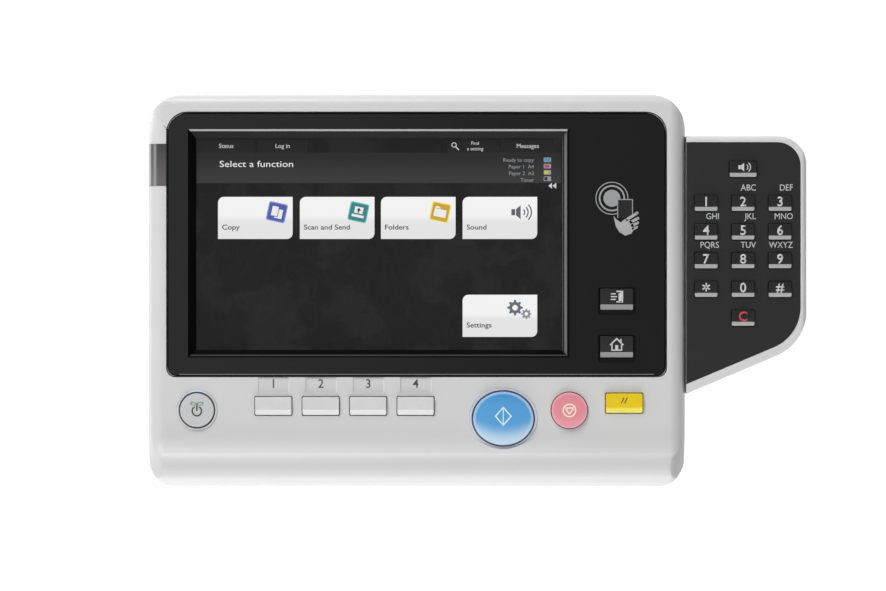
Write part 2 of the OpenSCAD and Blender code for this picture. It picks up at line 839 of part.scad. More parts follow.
module key_switches() {
  color("dimgray") for (p = key_spots) {
    slab(key_board_d1, switch_d1 - 0.8) plate_2d(p[0], p[1], 6, 6, 0.4);
    bar(p[0], p[1], 1.75, switch_d1 - 0.8, switch_d1);
  }
}

lcd_ribbon_x = [-60, 0];

// Flat ribbon that leaves the display's lower edge and turns back to the main board
module lcd_ribbon() {
  far_d = light_d0 + 2;
  near_d = main_board_d1 + 1.5;
  mid = (far_d + near_d) / 2;
  r = (far_d - near_d) / 2;
  turn_z = main_board_z[0] - 4;
  start_z2 = glass_z[0] - 0.3;
  color([0.75, 0.5, 0.2]) across(lcd_ribbon_x[0], lcd_ribbon_x[1]) {
    difference() {
      translate([mid, turn_z]) circle(r + ribbon_t / 2);
      translate([mid, turn_z]) circle(r - ribbon_t / 2);
      rect(near_d - 2, turn_z, far_d + 2, turn_z + r + 2);
    }
    rect(near_d - ribbon_t / 2, turn_z, near_d + ribbon_t / 2, main_board_z[0]);
    rect(far_d - ribbon_t / 2, turn_z, far_d + ribbon_t / 2, start_z2);
  }
}

module keypad_ribbon() {
  color([0.75, 0.5, 0.2]) slab(ribbon_d1 - ribbon_t, ribbon_d1)
    rect(ribbon_x[0] + 0.5, ribbon_z - ribbon_w / 2, ribbon_x[1], ribbon_z + ribbon_w / 2);
}

module nfc_antenna() {
  color([0.1, 0.3, 0.2]) slab(inner_d - 1.2, inner_d)
    round_box(menu_x - 18, bezel_z1 - 68, menu_x + 18, bezel_z1 - 20, [2, 2, 2, 2]);
}

module speaker() {
  color("black") turned(speaker_x, speaker_z, back_d + wall) union() {
    rect(0, 1, 4, 7);
    polygon([[4, 1], [14, 0.6], [speaker_r, 0], [speaker_r, 2], [14, 2.4], [8, 7], [4, 7]]);
    rect(0, 7, 8, 10);
  }
}

// ---------- status lamp, rings, inlet ----------

module status_lamp_lens() {
  color([0.35, 0.36, 0.37, 0.8]) upright(lens_z0, lens_z1) difference() {
    intersection() {
      housing_plan(0);
      rect(left, lens_back_d, opening_x0, front_d);
    }
    intersection() {
      hollow_plan(wall);
      rect(left, lens_back_d - past, opening_x0 + past, inner_d);
    }
  }
}

module lamp_board() {
  color([0.1, 0.35, 0.2]) {
    slab(lens_back_d + 5, lens_back_d + 6.2)
      rect(left + wall, lens_z0 + 1, left + wall + 6.5, lens_z1 - 1);
    for (s = [-1, 1]) slab(lens_back_d + 6.2, lens_back_d + 8)
      plate_2d(left + wall + 3.2, (lens_z0 + lens_z1) / 2 + s * 5, 3, 3, 0.4);
  }
}

module power_ring() {
  color([0.8, 0.8, 0.82]) difference() {
    union() {
      bar(power_x, power_z, power_ring_r, inner_d - 0.2, front_d + ring_proud);
      bar(power_x, power_z, power_ring_r + ring_flange,
          inner_d - ring_flange_t, inner_d);
    }
    slab(inner_d - ring_flange_t - past, front_d + ring_proud + past)
      power_outline(key_gap);
  }
}

module start_ring() {
  color([0.7, 0.8, 0.9]) difference() {
    union() {
      slab(inner_d - 0.2, front_d + ring_proud) start_outline(key_gap + start_ring_w);
      slab(inner_d - ring_flange_t, inner_d)
        start_outline(key_gap + start_ring_w + ring_flange);
    }
    slab(inner_d - ring_flange_t - past, front_d + ring_proud + past)
      start_outline(key_gap);
  }
}

module cable_grommet() {
  color([0.1, 0.1, 0.1]) turned(inlet_x, inlet_z, back_d) {
    rect(inlet_bore_r, -1.5, inlet_r - 0.1, wall + 1.5);
    rect(inlet_bore_r, -1.5, inlet_r + 2.5, 0);
    rect(inlet_bore_r, wall, inlet_r + 2, wall + 1.5);
  }
}

// ---------- hard keys ----------

crown_r = 160;
slope_h = 2.9;
slope_fall = 1.4;
ring_key_d0 = key_back_d - 1;
ring_key_d1 = inner_d - ring_flange_t - 0.3;
start_proud = key_proud + 1;

// Slopes the lower strip of a key so that it catches the light
module low_slope(x, z, w, h, face_d, strip = slope_h, fall = slope_fall) {
  across(x - w, x + w) polygon([
    [face_d - fall, z - h / 2 - 0.01], [face_d + past, z - h / 2 - 0.01],
    [face_d + past, z - h / 2 + strip], [face_d, z - h / 2 + strip]
  ]);
}

// Gently crowned cap between two depths; the outline is the child
module crowned(x, z, d0, d1) {
  intersection() {
    slab(d0, d1) children();
    turned(x, z, d1) intersection() {
      translate([0, -crown_r]) circle(crown_r, $fn = 1440);
      rect(0, d0 - d1 - past, 2 * start_a, 0);
    }
  }
}

module power_key() {
  color([0.82, 0.82, 0.84]) {
    crowned(power_x, power_z, ring_key_d0, front_d + key_proud - 0.5) power_outline();
    slab(ring_key_d0, ring_key_d1) power_outline(ring_flange);
    bar(power_x, power_z, stem_r, stem_d, ring_key_d1);
  }
}

module function_key(n) {
  x = function_x + (n - 1) * function_pitch;
  color([0.88, 0.88, 0.87]) {
    difference() {
      slab(key_back_d, front_d + key_proud) function_outline(n);
      low_slope(x, function_z, function_w, function_h, front_d + key_proud);
    }
    slab(key_back_d, key_back_d + key_flange_t) function_outline(n, key_flange);
    bar(x, function_z, stem_r, stem_d, key_back_d + past);
  }
}

module function_key_1() { function_key(1); }
module function_key_2() { function_key(2); }
module function_key_3() { function_key(3); }
module function_key_4() { function_key(4); }

module start_key() {
  color([0.2, 0.55, 0.85]) {
    crowned(start_x, start_z, ring_key_d0, front_d + start_proud) start_outline();
    slab(ring_key_d0, ring_key_d1) start_outline(ring_flange);
    bar(start_x, start_z, stem_r, stem_d, ring_key_d1);
  }
}

module stop_key() {
  color([0.93, 0.55, 0.6]) {
    crowned(stop_x, stop_z, key_back_d, front_d + key_proud) stop_outline();
    slab(key_back_d, key_back_d + key_flange_t) stop_outline(key_flange);
    bar(stop_x, stop_z, stem_r, stem_d, key_back_d + past);
  }
}

module reset_key() {
  color([0.93, 0.78, 0.1]) {
    difference() {
      slab(key_back_d, front_d + key_proud) reset_outline();
      low_slope(reset_x, reset_z, reset_w, reset_h, front_d + key_proud);
    }
    slab(key_back_d, key_back_d + key_flange_t) reset_outline(key_flange);
    bar(reset_x, reset_z, stem_r, stem_d, key_back_d + past);
  }
}

module menu_key(z) {
  face_d = bezel_d - 0.1;
  color([0.06, 0.06, 0.065]) {
    difference() {
      slab(key_back_d, face_d) menu_outline(z);
      low_slope(menu_x, z, menu_w, menu_h, face_d, 3, 1);
    }
    slab(key_back_d, key_back_d + key_flange_t) menu_outline(z, key_flange);
    bar(menu_x, z, stem_r, stem_d, key_back_d + past);
  }
}

module access_key() { menu_key(access_z); }
module home_key() { menu_key(home_z); }

// ---------- keypad wing ----------

wing_edge_r = 3;
ledge_w = 1.5;
pad_edge_fit = 0.15;

// Height of the wing's slanted lower edge at x, set in by s
function slant_z(x, s) =
  -wing_low + (x - right) * tan(wing_slant) + s / cos(wing_slant);

// Front view of the wing: set in by i on its straight sides and by s on the slant
module wing_outline(i, s, x0) {
  x1 = wing_x1 - i;
  z1 = wing_top - i;
  r = wing_low_r - i;
  rt = wing_top_r - i;
  cx = x1 - r;
  cz = slant_z(cx, s) + r / cos(wing_slant);
  dip = r - 0.02;
  polygon([
    [x0, slant_z(x0, s)], [cx + dip * sin(wing_slant), cz - dip * cos(wing_slant)],
    [x1, cz], [x1, z1 - rt], [x1 - rt, z1], [x0, z1]
  ]);
  translate([cx, cz]) circle(r);
  translate([x1 - rt, z1 - rt]) circle(rt);
}

// Keeps what lies inside the wing's rounded front and back edges
module wing_rounding() {
  intersection() {
    children();
    upright(-housing_h, housing_h)
      round_box(wing_x0 - past, wing_d0, wing_x1, wing_front_d,
                [0, wing_edge_r, wing_edge_r, 0]);
    across(wing_x0 - 2 * past, wing_x1 + past)
      round_box(wing_d0, -housing_h, wing_front_d, wing_top,
                [0, 0, wing_edge_r, wing_edge_r]);
  }
}

module keypad_case() {
  color([0.86, 0.86, 0.85]) {
    difference() {
      wing_rounding() slab(wing_rear_d, wing_front_d) wing_outline(0, 0, wing_x0);
      slab(plate_back_d, wing_front_d + past)
        wing_outline(rim_w, rim_slant_w, wing_x0 - past);
      difference() {
        union() {
          slab(wing_rear_d - past, plate_back_d - 2) wing_outline(wall, wall, wing_x0 + wall);
          slab(plate_back_d - 2 - 0.01, plate_back_d + past)
            wing_outline(rim_w + ledge_w, rim_slant_w + ledge_w, wing_x0 + wall);
        }
        for (p = wing_screw_spots) bar(p[0], p[1], 3, wing_rear_d - past, plate_back_d);
      }
      for (p = wing_screw_spots) bar(p[0], p[1], screw_r + screw_fit,
                                     wing_d0, wing_d0 + screw_l + 0.5);
      ribbon_cut();
    }
  }
}

function pad_board_posts() = [
  [pad_board_x[0] + 4, pad_board_z[1] - 8], [pad_board_x[1] - 4, pad_board_z[1] - 8],
  [pad_board_x[0] + 4, pad_board_z[0] + 6], [pad_board_x[1] - 5, pad_board_z[0] + 9]
];

module keypad_rear_cover() {
  color([0.8, 0.8, 0.79]) difference() {
    union() {
      wing_rounding() slab(wing_d0, wing_rear_d) wing_outline(0, 0, wing_x0);
      for (x = link_pad_x) bar(x, link_screws()[0][1], 3.4, wing_d0 + past,
                               wing_d0 - link_t + screw_l + 0.7);
      for (p = pad_board_posts()) {
        bar(p[0], p[1], 2.5, wing_d0 + past, pad_board_d0);
        bar(p[0], p[1], 1.2, wing_d0 + past, pad_board_d1);
      }
    }
    for (p = wing_screw_spots)
      bar(p[0], p[1], screw_r + 0.25, wing_d0 - past, wing_rear_d + past);
    for (x = link_pad_x) bar(x, link_screws()[0][1], screw_r + screw_fit, wing_d0 - past,
                             wing_d0 - link_t + screw_l + 0.3);
  }
}

// Every keypad key: x, z and width
pad_spots = [
  for (row = [0:3]) for (col = [0:2]) [pad_col_x[col], pad_row_z[row], pad_key_w],
  [pad_x, clear_z, pad_key_w], [pad_x, sound_z, sound_w]
];

module keypad_faceplate() {
  color([0.05, 0.05, 0.055]) difference() {
    slab(plate_back_d, plate_front_d)
      wing_outline(rim_w + pad_edge_fit, rim_slant_w + pad_edge_fit, wing_x0 + 0.1);
    slab(plate_back_d - past, plate_front_d + past)
      for (p = pad_spots) plate_2d(p[0], p[1], p[2] + 2 * pad_gap,
                                   pad_key_h + 2 * pad_gap, 1);
  }
}

module keypad_mat() {
  color([0.55, 0.57, 0.6]) {
    slab(pad_board_d1, pad_board_d1 + mat_t)
      rect(pad_board_x[0] + 1, pad_board_z[0] + 1, pad_board_x[1] - 1, pad_board_z[1] - 1);
    for (p = pad_spots) turned(p[0], p[1], pad_board_d1 + mat_t)
      polygon([[0, 0], [4, 0], [2.6, dome_h], [0, dome_h]]);
  }
}

module keypad_board() {
  color([0.1, 0.35, 0.2]) {
    difference() {
      slab(pad_board_d0, pad_board_d1)
        rect(pad_board_x[0], pad_board_z[0], pad_board_x[1], pad_board_z[1]);
      for (p = pad_board_posts()) bar(p[0], p[1], 1.3, pad_board_d0 - past, pad_board_d1 + past);
    }
    slab(ribbon_d1, pad_board_d0)
      rect(pad_board_x[0] + 3, ribbon_z - ribbon_w / 2, ribbon_x[1], ribbon_z + ribbon_w / 2);
  }
}

// Bent steel link between the backs of the housing and of the wing
module keypad_bracket() {
  color("lightgray") difference() {
    union() {
      slab(back_d - link_t, back_d)
        round_box(link_x0, link_z[0], wing_x0 + 2 * link_t, link_z[1], [4, 0, 0, 4]);
      slab(back_d - link_t, wing_d0)
        rect(wing_x0 + link_t, link_z[0], wing_x0 + 2 * link_t, link_z[1]);
      slab(wing_d0 - link_t, wing_d0)
        round_box(wing_x0 + link_t, link_z[0], link_x1, link_z[1], [0, 4, 4, 0]);
    }
    for (p = link_screws()) bar(p[0], p[1], screw_r + 0.25, back_d - 3 * link_t, back_d + past);
    for (x = link_pad_x) bar(x, link_screws()[0][1], screw_r + 0.25,
                             wing_d0 - 2 * link_t, wing_d0 + past);
  }
}

module keypad_screws() {
  color("dimgray") {
    for (p = wing_screw_spots) difference() {
      case_screw(p[0], p[1], wing_d0, screw_l);
      cross_recess(p[0], p[1], wing_d0);
    }
    for (p = link_screws()) difference() {
      case_screw(p[0], p[1], back_d - link_t, screw_l);
      cross_recess(p[0], p[1], back_d - link_t);
    }
    for (x = link_pad_x) difference() {
      case_screw(x, link_screws()[0][1], wing_d0 - link_t, screw_l);
      cross_recess(x, link_screws()[0][1], wing_d0 - link_t);
    }
  }
}

module pad_key(spot) {
  x = spot[0];
  z = spot[1];
  w = spot[2];
  face_d = plate_front_d + pad_proud;
  color([0.06, 0.06, 0.065]) {
    difference() {
      slab(pad_flange_d - pad_flange_t, face_d) plate_2d(x, z, w, pad_key_h, 0.8);
      low_slope(x, z, w, pad_key_h, face_d, 2.2, 1);
    }
    slab(pad_flange_d - pad_flange_t, pad_flange_d)
      plate_2d(x, z, w + 1.6, pad_key_h + 1.6, 0.8);
  }
}

module key_1() { pad_key(pad_spots[0]); }
module key_2() { pad_key(pad_spots[1]); }
module key_3() { pad_key(pad_spots[2]); }
module key_4() { pad_key(pad_spots[3]); }
module key_5() { pad_key(pad_spots[4]); }
module key_6() { pad_key(pad_spots[5]); }
module key_7() { pad_key(pad_spots[6]); }
module key_8() { pad_key(pad_spots[7]); }
module key_9() { pad_key(pad_spots[8]); }
module key_star() { pad_key(pad_spots[9]); }
module key_0() { pad_key(pad_spots[10]); }
module key_hash() { pad_key(pad_spots[11]); }
module key_clear() { pad_key(pad_spots[12]); }
module key_sound() { pad_key(pad_spots[13]); }

// ---------- hinge and bracket ----------

// Draws its children on both sides, mirrored about the middle
module both_sides() {
  children();
  mirror([1, 0, 0]) children();
}

module mount_bracket() {
  half = plate_w / 2;
  flange_top = pivot_z - 32;
  color([0.72, 0.73, 0.75]) difference() {
    union() {
      slab(0, plate_t)
        round_box(-half, plate_low_z, half, plate_top_z, [6, 6, ear_r, ear_r]);
      both_sides() {
        across(ear_x, ear_x + ear_t) {
          rect(plate_t - past, pivot_z - ear_r, pivot_d, pivot_z + ear_r);
          polygon([[plate_t - past, pivot_z], [pivot_d, pivot_z - ear_r],
                   [plate_t - past, pivot_z - 30]]);
          translate([pivot_d, pivot_z]) circle(ear_r);
        }
        slab(plate_t - past, 10) rect(half - plate_t, plate_low_z + 6, half, flange_top);
      }
    }
    both_sides() {
      axle(ear_x - past, ear_x + ear_t + past, pin_r + 0.02, pivot_d, pivot_z);
      for (z = [-bolt_z / 2, bolt_z / 2])
        bar(bolt_x / 2, z, bolt_hole_r, -past, plate_t + past);
    }
    slab(-past, plate_t + past) plate_2d(inlet_x, inlet_z - 16, 44, 24, 5);
    slab(-past, plate_t + past) plate_2d(0, -6, 90, 44, 8);
  }
}

module hinge_pins() {
  color("silver") both_sides() {
    axle(ear_x - 3, ear_x, 6, pivot_d, pivot_z);
    axle(ear_x - 1, nut_x + nut_t + 1, pin_r, pivot_d, pivot_z);
  }
}

module washer(x, t, r_out, r_in) {
  difference() {
    axle(x, x + t, r_out, pivot_d, pivot_z);
    axle(x - past, x + t + past, r_in, pivot_d, pivot_z);
  }
}

module friction_washers() {
  color([0.35, 0.25, 0.15]) both_sides() {
    washer(ear_x + ear_t, washer_t, ear_r - 1, pin_r + 0.1);
    washer(leaf_x + leaf_t + hinge_slack, washer_t, ear_r - 1, pin_r + 0.1);
  }
}

module disc_springs() {
  color("dimgray") both_sides() translate([spring_x, -pivot_d, pivot_z])
    rotate([0, 90, 0]) rotate_extrude() polygon([
      [pin_r + 0.1, spring_t - 0.6], [pin_r + 0.1, spring_t],
      [ear_r - 2.5, 0.6], [ear_r - 2.5, 0]
    ]);
}

module hinge_nuts() {
  color("silver") both_sides() difference() {
    across(nut_x, nut_x + nut_t) translate([pivot_d, pivot_z]) hexagon(pin_r * 10 / 3);
    axle(nut_x - past, nut_x + nut_t + past, pin_r + 0.02, pivot_d, pivot_z);
  }
}

module hinge_leaves() {
  foot_low = pivot_z - 40;
  color([0.72, 0.73, 0.75]) both_sides() difference() {
    union() {
      across(leaf_x, leaf_x + leaf_t) {
        translate([pivot_d, pivot_z]) circle(ear_r);
        polygon([
          [pivot_d, pivot_z + ear_r], [back_d, pivot_z + ear_r], [back_d, foot_low],
          [back_d - leaf_t, foot_low], [pivot_d - 0.8 * ear_r, pivot_z - 0.6 * ear_r]
        ]);
      }
      slab(back_d - leaf_t, back_d)
        round_box(leaf_x, foot_low, leaf_x + leaf_foot_w, foot_low + leaf_foot_h,
                  [0, 4, 4, 0]);
    }
    axle(leaf_x - past, leaf_x + leaf_t + past, pin_r + pin_clearance, pivot_d, pivot_z);
    for (p = leaf_screw_spots)
      bar(p[0], p[1], leaf_screw_r + 0.25, back_d - leaf_t - past, back_d + past);
  }
}

module hinge_screws() {
  color("dimgray") for (p = leaf_screws()) difference() {
    turned(p[0], p[1], back_d - leaf_t) {
      rect(0, 0, leaf_screw_r, leaf_screw_l);
      rect(0, -screw_head_t, 3, 0);
    }
    cross_recess(p[0], p[1], back_d - leaf_t);
  }
}

mount_bracket();
hinge_pins();
friction_washers();
disc_springs();
hinge_nuts();
hinge_leaves();
hinge_screws();
front_cover();
rear_cover();
display_bezel();
window_gasket();
touch_glass();
lcd_cell();
backlight_plate();
lcd_frame();
lcd_bracket();
main_board();
key_board();
key_switches();
lcd_ribbon();
keypad_ribbon();
status_lamp_lens();
lamp_board();
nfc_antenna();
speaker();
start_ring();
power_ring();
case_screws();
cable_grommet();
keypad_case();
keypad_rear_cover();
keypad_faceplate();
keypad_mat();
keypad_board();
keypad_bracket();
keypad_screws();
power_key();
function_key_1();
function_key_2();
function_key_3();
function_key_4();
start_key();
stop_key();
reset_key();
access_key();
home_key();
key_1();
key_2();
key_3();
key_4();
key_5();
key_6();
key_7();
key_8();
key_9();
key_0();
key_star();
key_hash();
key_clear();
key_sound();
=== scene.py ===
"""The operator panel of an office copying machine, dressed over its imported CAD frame.

The panel hangs on a steel bracket by two friction hinges. It has a touch screen behind a
gloss black frame, a row of keys under it and a keypad wing at its right.
"""
import logging
import math
from dataclasses import dataclass, field
from enum import Enum
from typing import ClassVar, Iterable, Sequence

import bmesh
import bpy
from mathutils import Matrix, Vector


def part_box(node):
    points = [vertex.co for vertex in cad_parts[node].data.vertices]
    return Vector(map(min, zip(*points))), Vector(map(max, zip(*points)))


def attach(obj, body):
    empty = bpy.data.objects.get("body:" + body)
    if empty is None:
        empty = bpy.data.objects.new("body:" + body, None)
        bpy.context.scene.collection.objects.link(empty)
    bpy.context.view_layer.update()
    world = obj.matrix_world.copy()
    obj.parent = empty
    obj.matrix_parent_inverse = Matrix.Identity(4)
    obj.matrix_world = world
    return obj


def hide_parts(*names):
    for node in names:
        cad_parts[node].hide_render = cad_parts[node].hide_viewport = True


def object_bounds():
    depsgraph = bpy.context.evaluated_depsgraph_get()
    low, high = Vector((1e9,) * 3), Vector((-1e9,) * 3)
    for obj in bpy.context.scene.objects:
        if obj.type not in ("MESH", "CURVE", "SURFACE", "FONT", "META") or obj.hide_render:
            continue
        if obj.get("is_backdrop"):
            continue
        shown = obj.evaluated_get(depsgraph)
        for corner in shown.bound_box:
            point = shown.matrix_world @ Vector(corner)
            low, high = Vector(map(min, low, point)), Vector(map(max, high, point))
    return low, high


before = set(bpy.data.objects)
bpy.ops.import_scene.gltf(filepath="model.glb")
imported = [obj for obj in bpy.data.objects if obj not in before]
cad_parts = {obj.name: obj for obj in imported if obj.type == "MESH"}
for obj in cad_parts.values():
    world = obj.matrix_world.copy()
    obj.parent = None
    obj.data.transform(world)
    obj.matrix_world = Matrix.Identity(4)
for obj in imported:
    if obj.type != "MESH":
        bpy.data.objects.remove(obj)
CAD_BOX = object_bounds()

log = logging.getLogger("panel")
logging.basicConfig(level=logging.INFO, format="%(name)s: %(message)s")

MM = 0.001
INK = 0.05 * MM        # how far a printed mark stands off its face
SINK = 0.02 * MM       # how far the back of a mark is sunk into its face

SLOPE = "slope"        # the face attribute that is 1 on the slope at the foot of a key
CAPITAL = 0.73         # a capital's height in the built-in font, as a share of its size

Colour = tuple[float, float, float]
Point = tuple[float, float]


def grey(value: float) -> Colour:
    """Gives a neutral colour of that linear brightness."""
    return (value, value, value)


def shade(red: int, green: int, blue: int) -> Colour:
    """Turns a display colour of 0 to 255 into linear light.

    Args:
        red, green, blue: the display values.
    Returns:
        The same colour in linear light, from 0 to 1.
    """
    return tuple(c / 12.92 if c <= 0.04045 else ((c + 0.055) / 1.055) ** 2.4
                 for c in (red / 255, green / 255, blue / 255))


def in_mm(points: Sequence[Point]) -> list[Point]:
    """Turns points given in millimetres into metres."""
    return [(x * MM, z * MM) for x, z in points]


# ---------------------------------------------------------------- shader nodes


@dataclass(frozen=True)
class Signal:
    """A number that varies over a surface, held as the output socket that carries it."""

    graph: "Graph"
    socket: bpy.types.NodeSocket

    def _math(self, operation: str, first: object, second: object = 0.0) -> "Signal":
        """Adds one Math node and gives its result."""
        node = self.graph.node("ShaderNodeMath", {"operation": operation}, {0: first, 1: second})
        return Signal(self.graph, node.outputs[0])

    def __add__(self, other: object) -> "Signal":
        """Adds a number or signal."""
        return self._math("ADD", self, other)

    __radd__ = __add__

    def __sub__(self, other: object) -> "Signal":
        """Takes a number or signal away."""
        return self._math("SUBTRACT", self, other)

    def __mul__(self, other: object) -> "Signal":
        """Multiplies by a number or signal."""
        return self._math("MULTIPLY", self, other)

    __rmul__ = __mul__

    def __abs__(self) -> "Signal":
        """Drops the sign."""
        return self._math("ABSOLUTE", self)

    def span(self, low: float, high: float) -> "Signal":
        """Gives 0 at low, 1 at high and a smooth rise between them."""
        node = self.graph.node("ShaderNodeMapRange", {"interpolation_type": "SMOOTHSTEP"},
                               {"Value": self, "From Min": low, "From Max": high})
        return Signal(self.graph, node.outputs["Result"])


class Graph:
    """The node tree of one material."""

    def __init__(self, name: str) -> None:
        """Starts an empty material of that name."""
        self.material = bpy.data.materials.new(name)
        self.material.use_nodes = True
        self.tree = self.material.node_tree
        self.tree.nodes.clear()
        self.place = self.node("ShaderNodeTexCoord")
        self._axes = None

    def node(self, kind: str, settings: dict | None = None, inputs: dict | None = None) -> bpy.types.Node:
        """Adds a node.

        Args:
            kind: Blender's name for the node's type.
            settings: its options, set before its inputs.
            inputs: a value, a socket or a Signal for each socket, by name or number.
        Returns:
            The new node.
        """
        made = self.tree.nodes.new(kind)
        for option, value in (settings or {}).items():
            setattr(made, option, value)
        for name, value in (inputs or {}).items():
            socket = made.inputs[name]
            if isinstance(value, Signal):
                value = value.socket
            if isinstance(value, bpy.types.NodeSocket):
                self.tree.links.new(value, socket)
            elif isinstance(value, tuple) and socket.type == "RGBA":
                socket.default_value = (*value, 1.0)
            else:
                socket.default_value = value
        return made

    def noise(self, size: float, detail: float = 2.0, stretch: Colour = (1.0, 1.0, 1.0)) -> Signal:
        """Gives a cloudy pattern on Object coordinates.

        Args:
            size: about how wide one cloud is, in metres.
            detail: how many finer layers it has.
            stretch: how much finer the pattern is along each axis.
        Returns:
            A signal from 0 to 1.
        """
        place = self.place.outputs["Object"]
        mapped = self.node("ShaderNodeMapping", {}, {"Vector": place, "Scale": stretch})
        made = self.node("ShaderNodeTexNoise", {}, {"Vector": mapped.outputs[0], "Scale": 1 / size,
                                                    "Detail": detail, "Roughness": 0.55})
        return Signal(self, made.outputs["Fac"])

    def axis(self, letter: str) -> Signal:
        """Gives the Object coordinate along X, Y or Z, in metres."""
        if self._axes is None:
            self._axes = self.node("ShaderNodeSeparateXYZ", {}, {0: self.place.outputs["Object"]})
        return Signal(self, self._axes.outputs[letter])

    def facing(self, letter: str) -> Signal:
        """Gives how far the surface looks along X, Y or Z, from -1 to 1."""
        split = self.node("ShaderNodeSeparateXYZ", {}, {0: self.place.outputs["Normal"]})
        return Signal(self, split.outputs[letter])

    def blend(self, amount: Signal, first: object, second: object) -> bpy.types.NodeSocket:
        """Mixes two colours.

        Args:
            amount: 0 for all of the first colour, 1 for all of the second.
            first, second: a colour or a colour socket.
        Returns:
            The mixed colour's socket.
        """
        mixed = self.node("ShaderNodeMix", {"data_type": "RGBA"}, {0: amount, 6: first, 7: second})
        return mixed.outputs[2]

    def bump(self, height: Signal, depth: float, strength: float = 1.0) -> bpy.types.NodeSocket:
        """Turns a height signal of 0 to 1 into a normal, depth being its height in metres."""
        made = self.node("ShaderNodeBump", {}, {"Height": height, "Distance": depth, "Strength": strength})
        return made.outputs[0]

    def surface(self, **sockets: object) -> bpy.types.Material:
        """Closes the graph with a Principled shader.

        Args:
            sockets: a value or link for each socket, with underscores for spaces.
        Returns:
            The finished material.
        """
        body = self.node("ShaderNodeBsdfPrincipled", {}, {n.replace("_", " "): v for n, v in sockets.items()})
        self.node("ShaderNodeOutputMaterial", {}, {"Surface": body.outputs[0]})
        return self.material


# ---------------------------------------------------------------- finishes


@dataclass(frozen=True)
class Plastic:
    """Moulded plastic with a spark-eroded grain and faint flow marks."""

    name: str
    colour: Colour
    roughness: float = 0.45
    grain: float = 0.45 * MM
    depth: float = 0.02 * MM
    mottle: float = 0.05
    coat: float = 0.0

    def material(self) -> bpy.types.Material:
        """Builds the finish."""
        graph = Graph(self.name)
        flow = graph.noise(38 * MM, 3.0)
        grain = graph.noise(self.grain, 2.0)
        paler = tuple(min(1.0, c * (1 + 2 * self.mottle) + 0.002) for c in self.colour)
        tone = graph.blend(flow * 0.7 + grain * 0.3, tuple(c * (1 - self.mottle) for c in self.colour), paler)
        rough = flow * 0.08 + grain * 0.06 + (self.roughness - 0.07)
        return graph.surface(Base_Color=tone, Roughness=rough, Coat_Weight=self.coat, Coat_Roughness=0.08,
                             Normal=graph.bump(grain, self.depth))


@dataclass(frozen=True)
class KeyPlastic:
    """Key plastic whose lower slope is a second colour: a light bar on the black keys, a painted highlight on
    the grey, silver and yellow keys.
    """

    name: str
    colour: Colour
    slope: Colour
    roughness: float = 0.35

    def material(self) -> bpy.types.Material:
        """Builds the finish."""
        graph = Graph(self.name)
        grain = graph.noise(0.35 * MM, 2.0)
        wear = graph.noise(6 * MM, 3.0)
        foot = graph.node("ShaderNodeAttribute", {"attribute_name": SLOPE})
        face = graph.blend(wear * 0.6 + grain * 0.4, tuple(c * 0.93 for c in self.colour),
                           tuple(min(1.0, c * 1.1 + 0.001) for c in self.colour))
        # On the black keys the slope colour is a real light bar; on the other keys it is a paler copy of the
        # face colour, a painted highlight.
        tone = graph.blend(Signal(graph, foot.outputs["Fac"]), face, self.slope)
        return graph.surface(Base_Color=tone, Roughness=wear * 0.1 + grain * 0.06 + (self.roughness - 0.08),
                             Normal=graph.bump(grain, 0.012 * MM))


@dataclass(frozen=True)
class CrownedKey:
    """Glossy key plastic in three tones from top to bottom: painted shade at the top, a painted highlight
    along its lower edge and a pale painted ring near its edge.
    """

    name: str
    upper: Colour
    middle: Colour
    lower: Colour
    node: str
    rim_highlight: Colour
    roughness: float = 0.28
    flange: float = 1.0 * MM

    def material(self) -> bpy.types.Material:
        """Builds the finish, the tones running over the key's own height and round its edge: painted shade, a
        painted highlight and a pale painted ring.
        """
        low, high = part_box(self.node)
        graph = Graph(self.name)
        centre, half = (low.z + high.z) / 2, (high.z - low.z) / 2 - self.flange
        middle_x, half_x = (low.x + high.x) / 2, (high.x - low.x) / 2 - self.flange
        across = (graph.axis("X") - middle_x) * (1 / half_x)
        height = (graph.axis("Z") - centre) * (1 / half)
        edge = height * -1.0 + across * across * 0.35
        grain = graph.noise(0.3 * MM, 2.0)
        cloud = graph.noise(9 * MM, 2.0)
        # Painted highlight: the lower colour pales the key towards its lower edge.
        body = graph.blend(edge.span(0.18, 1.0) * 0.97 + cloud * 0.03, self.middle, self.lower)
        # Painted shade: the upper colour darkens the top of the key.
        tone = graph.blend(height.span(0.35, 1.0) * 0.8 + grain * 0.08, body, self.upper)
        # Painted highlight: a pale ring just inside the key's edge.
        band = (across * across + height * height).span(0.74, 0.84)
        tone = graph.blend(band * 0.55, tone, self.rim_highlight)
        return graph.surface(Base_Color=tone, Roughness=grain * 0.08 + (self.roughness - 0.04),
                             Coat_Weight=0.35, Coat_Roughness=0.12, Normal=graph.bump(grain, 0.008 * MM))


@dataclass(frozen=True)
class Metal:
    """Rolled or plated steel, with grain along one axis and a cloudy passivated film."""

    name: str
    colour: Colour
    roughness: float = 0.32
    tint: Colour = (0.75, 0.72, 0.6)
    film: float = 0.25
    stretch: Colour = (0.08, 1.0, 1.0)

    def material(self) -> bpy.types.Material:
        """Builds the finish."""
        graph = Graph(self.name)
        rolled = graph.noise(0.5 * MM, 3.0, self.stretch)
        cloud = graph.noise(14 * MM, 4.0)
        tone = graph.blend(cloud.span(0.35, 0.75) * self.film, self.colour, self.tint)
        rough = rolled * 0.16 + cloud * 0.1 + self.roughness - 0.1
        return graph.surface(Base_Color=tone, Metallic=1.0, Roughness=rough,
                             Normal=graph.bump(rolled, 0.006 * MM))


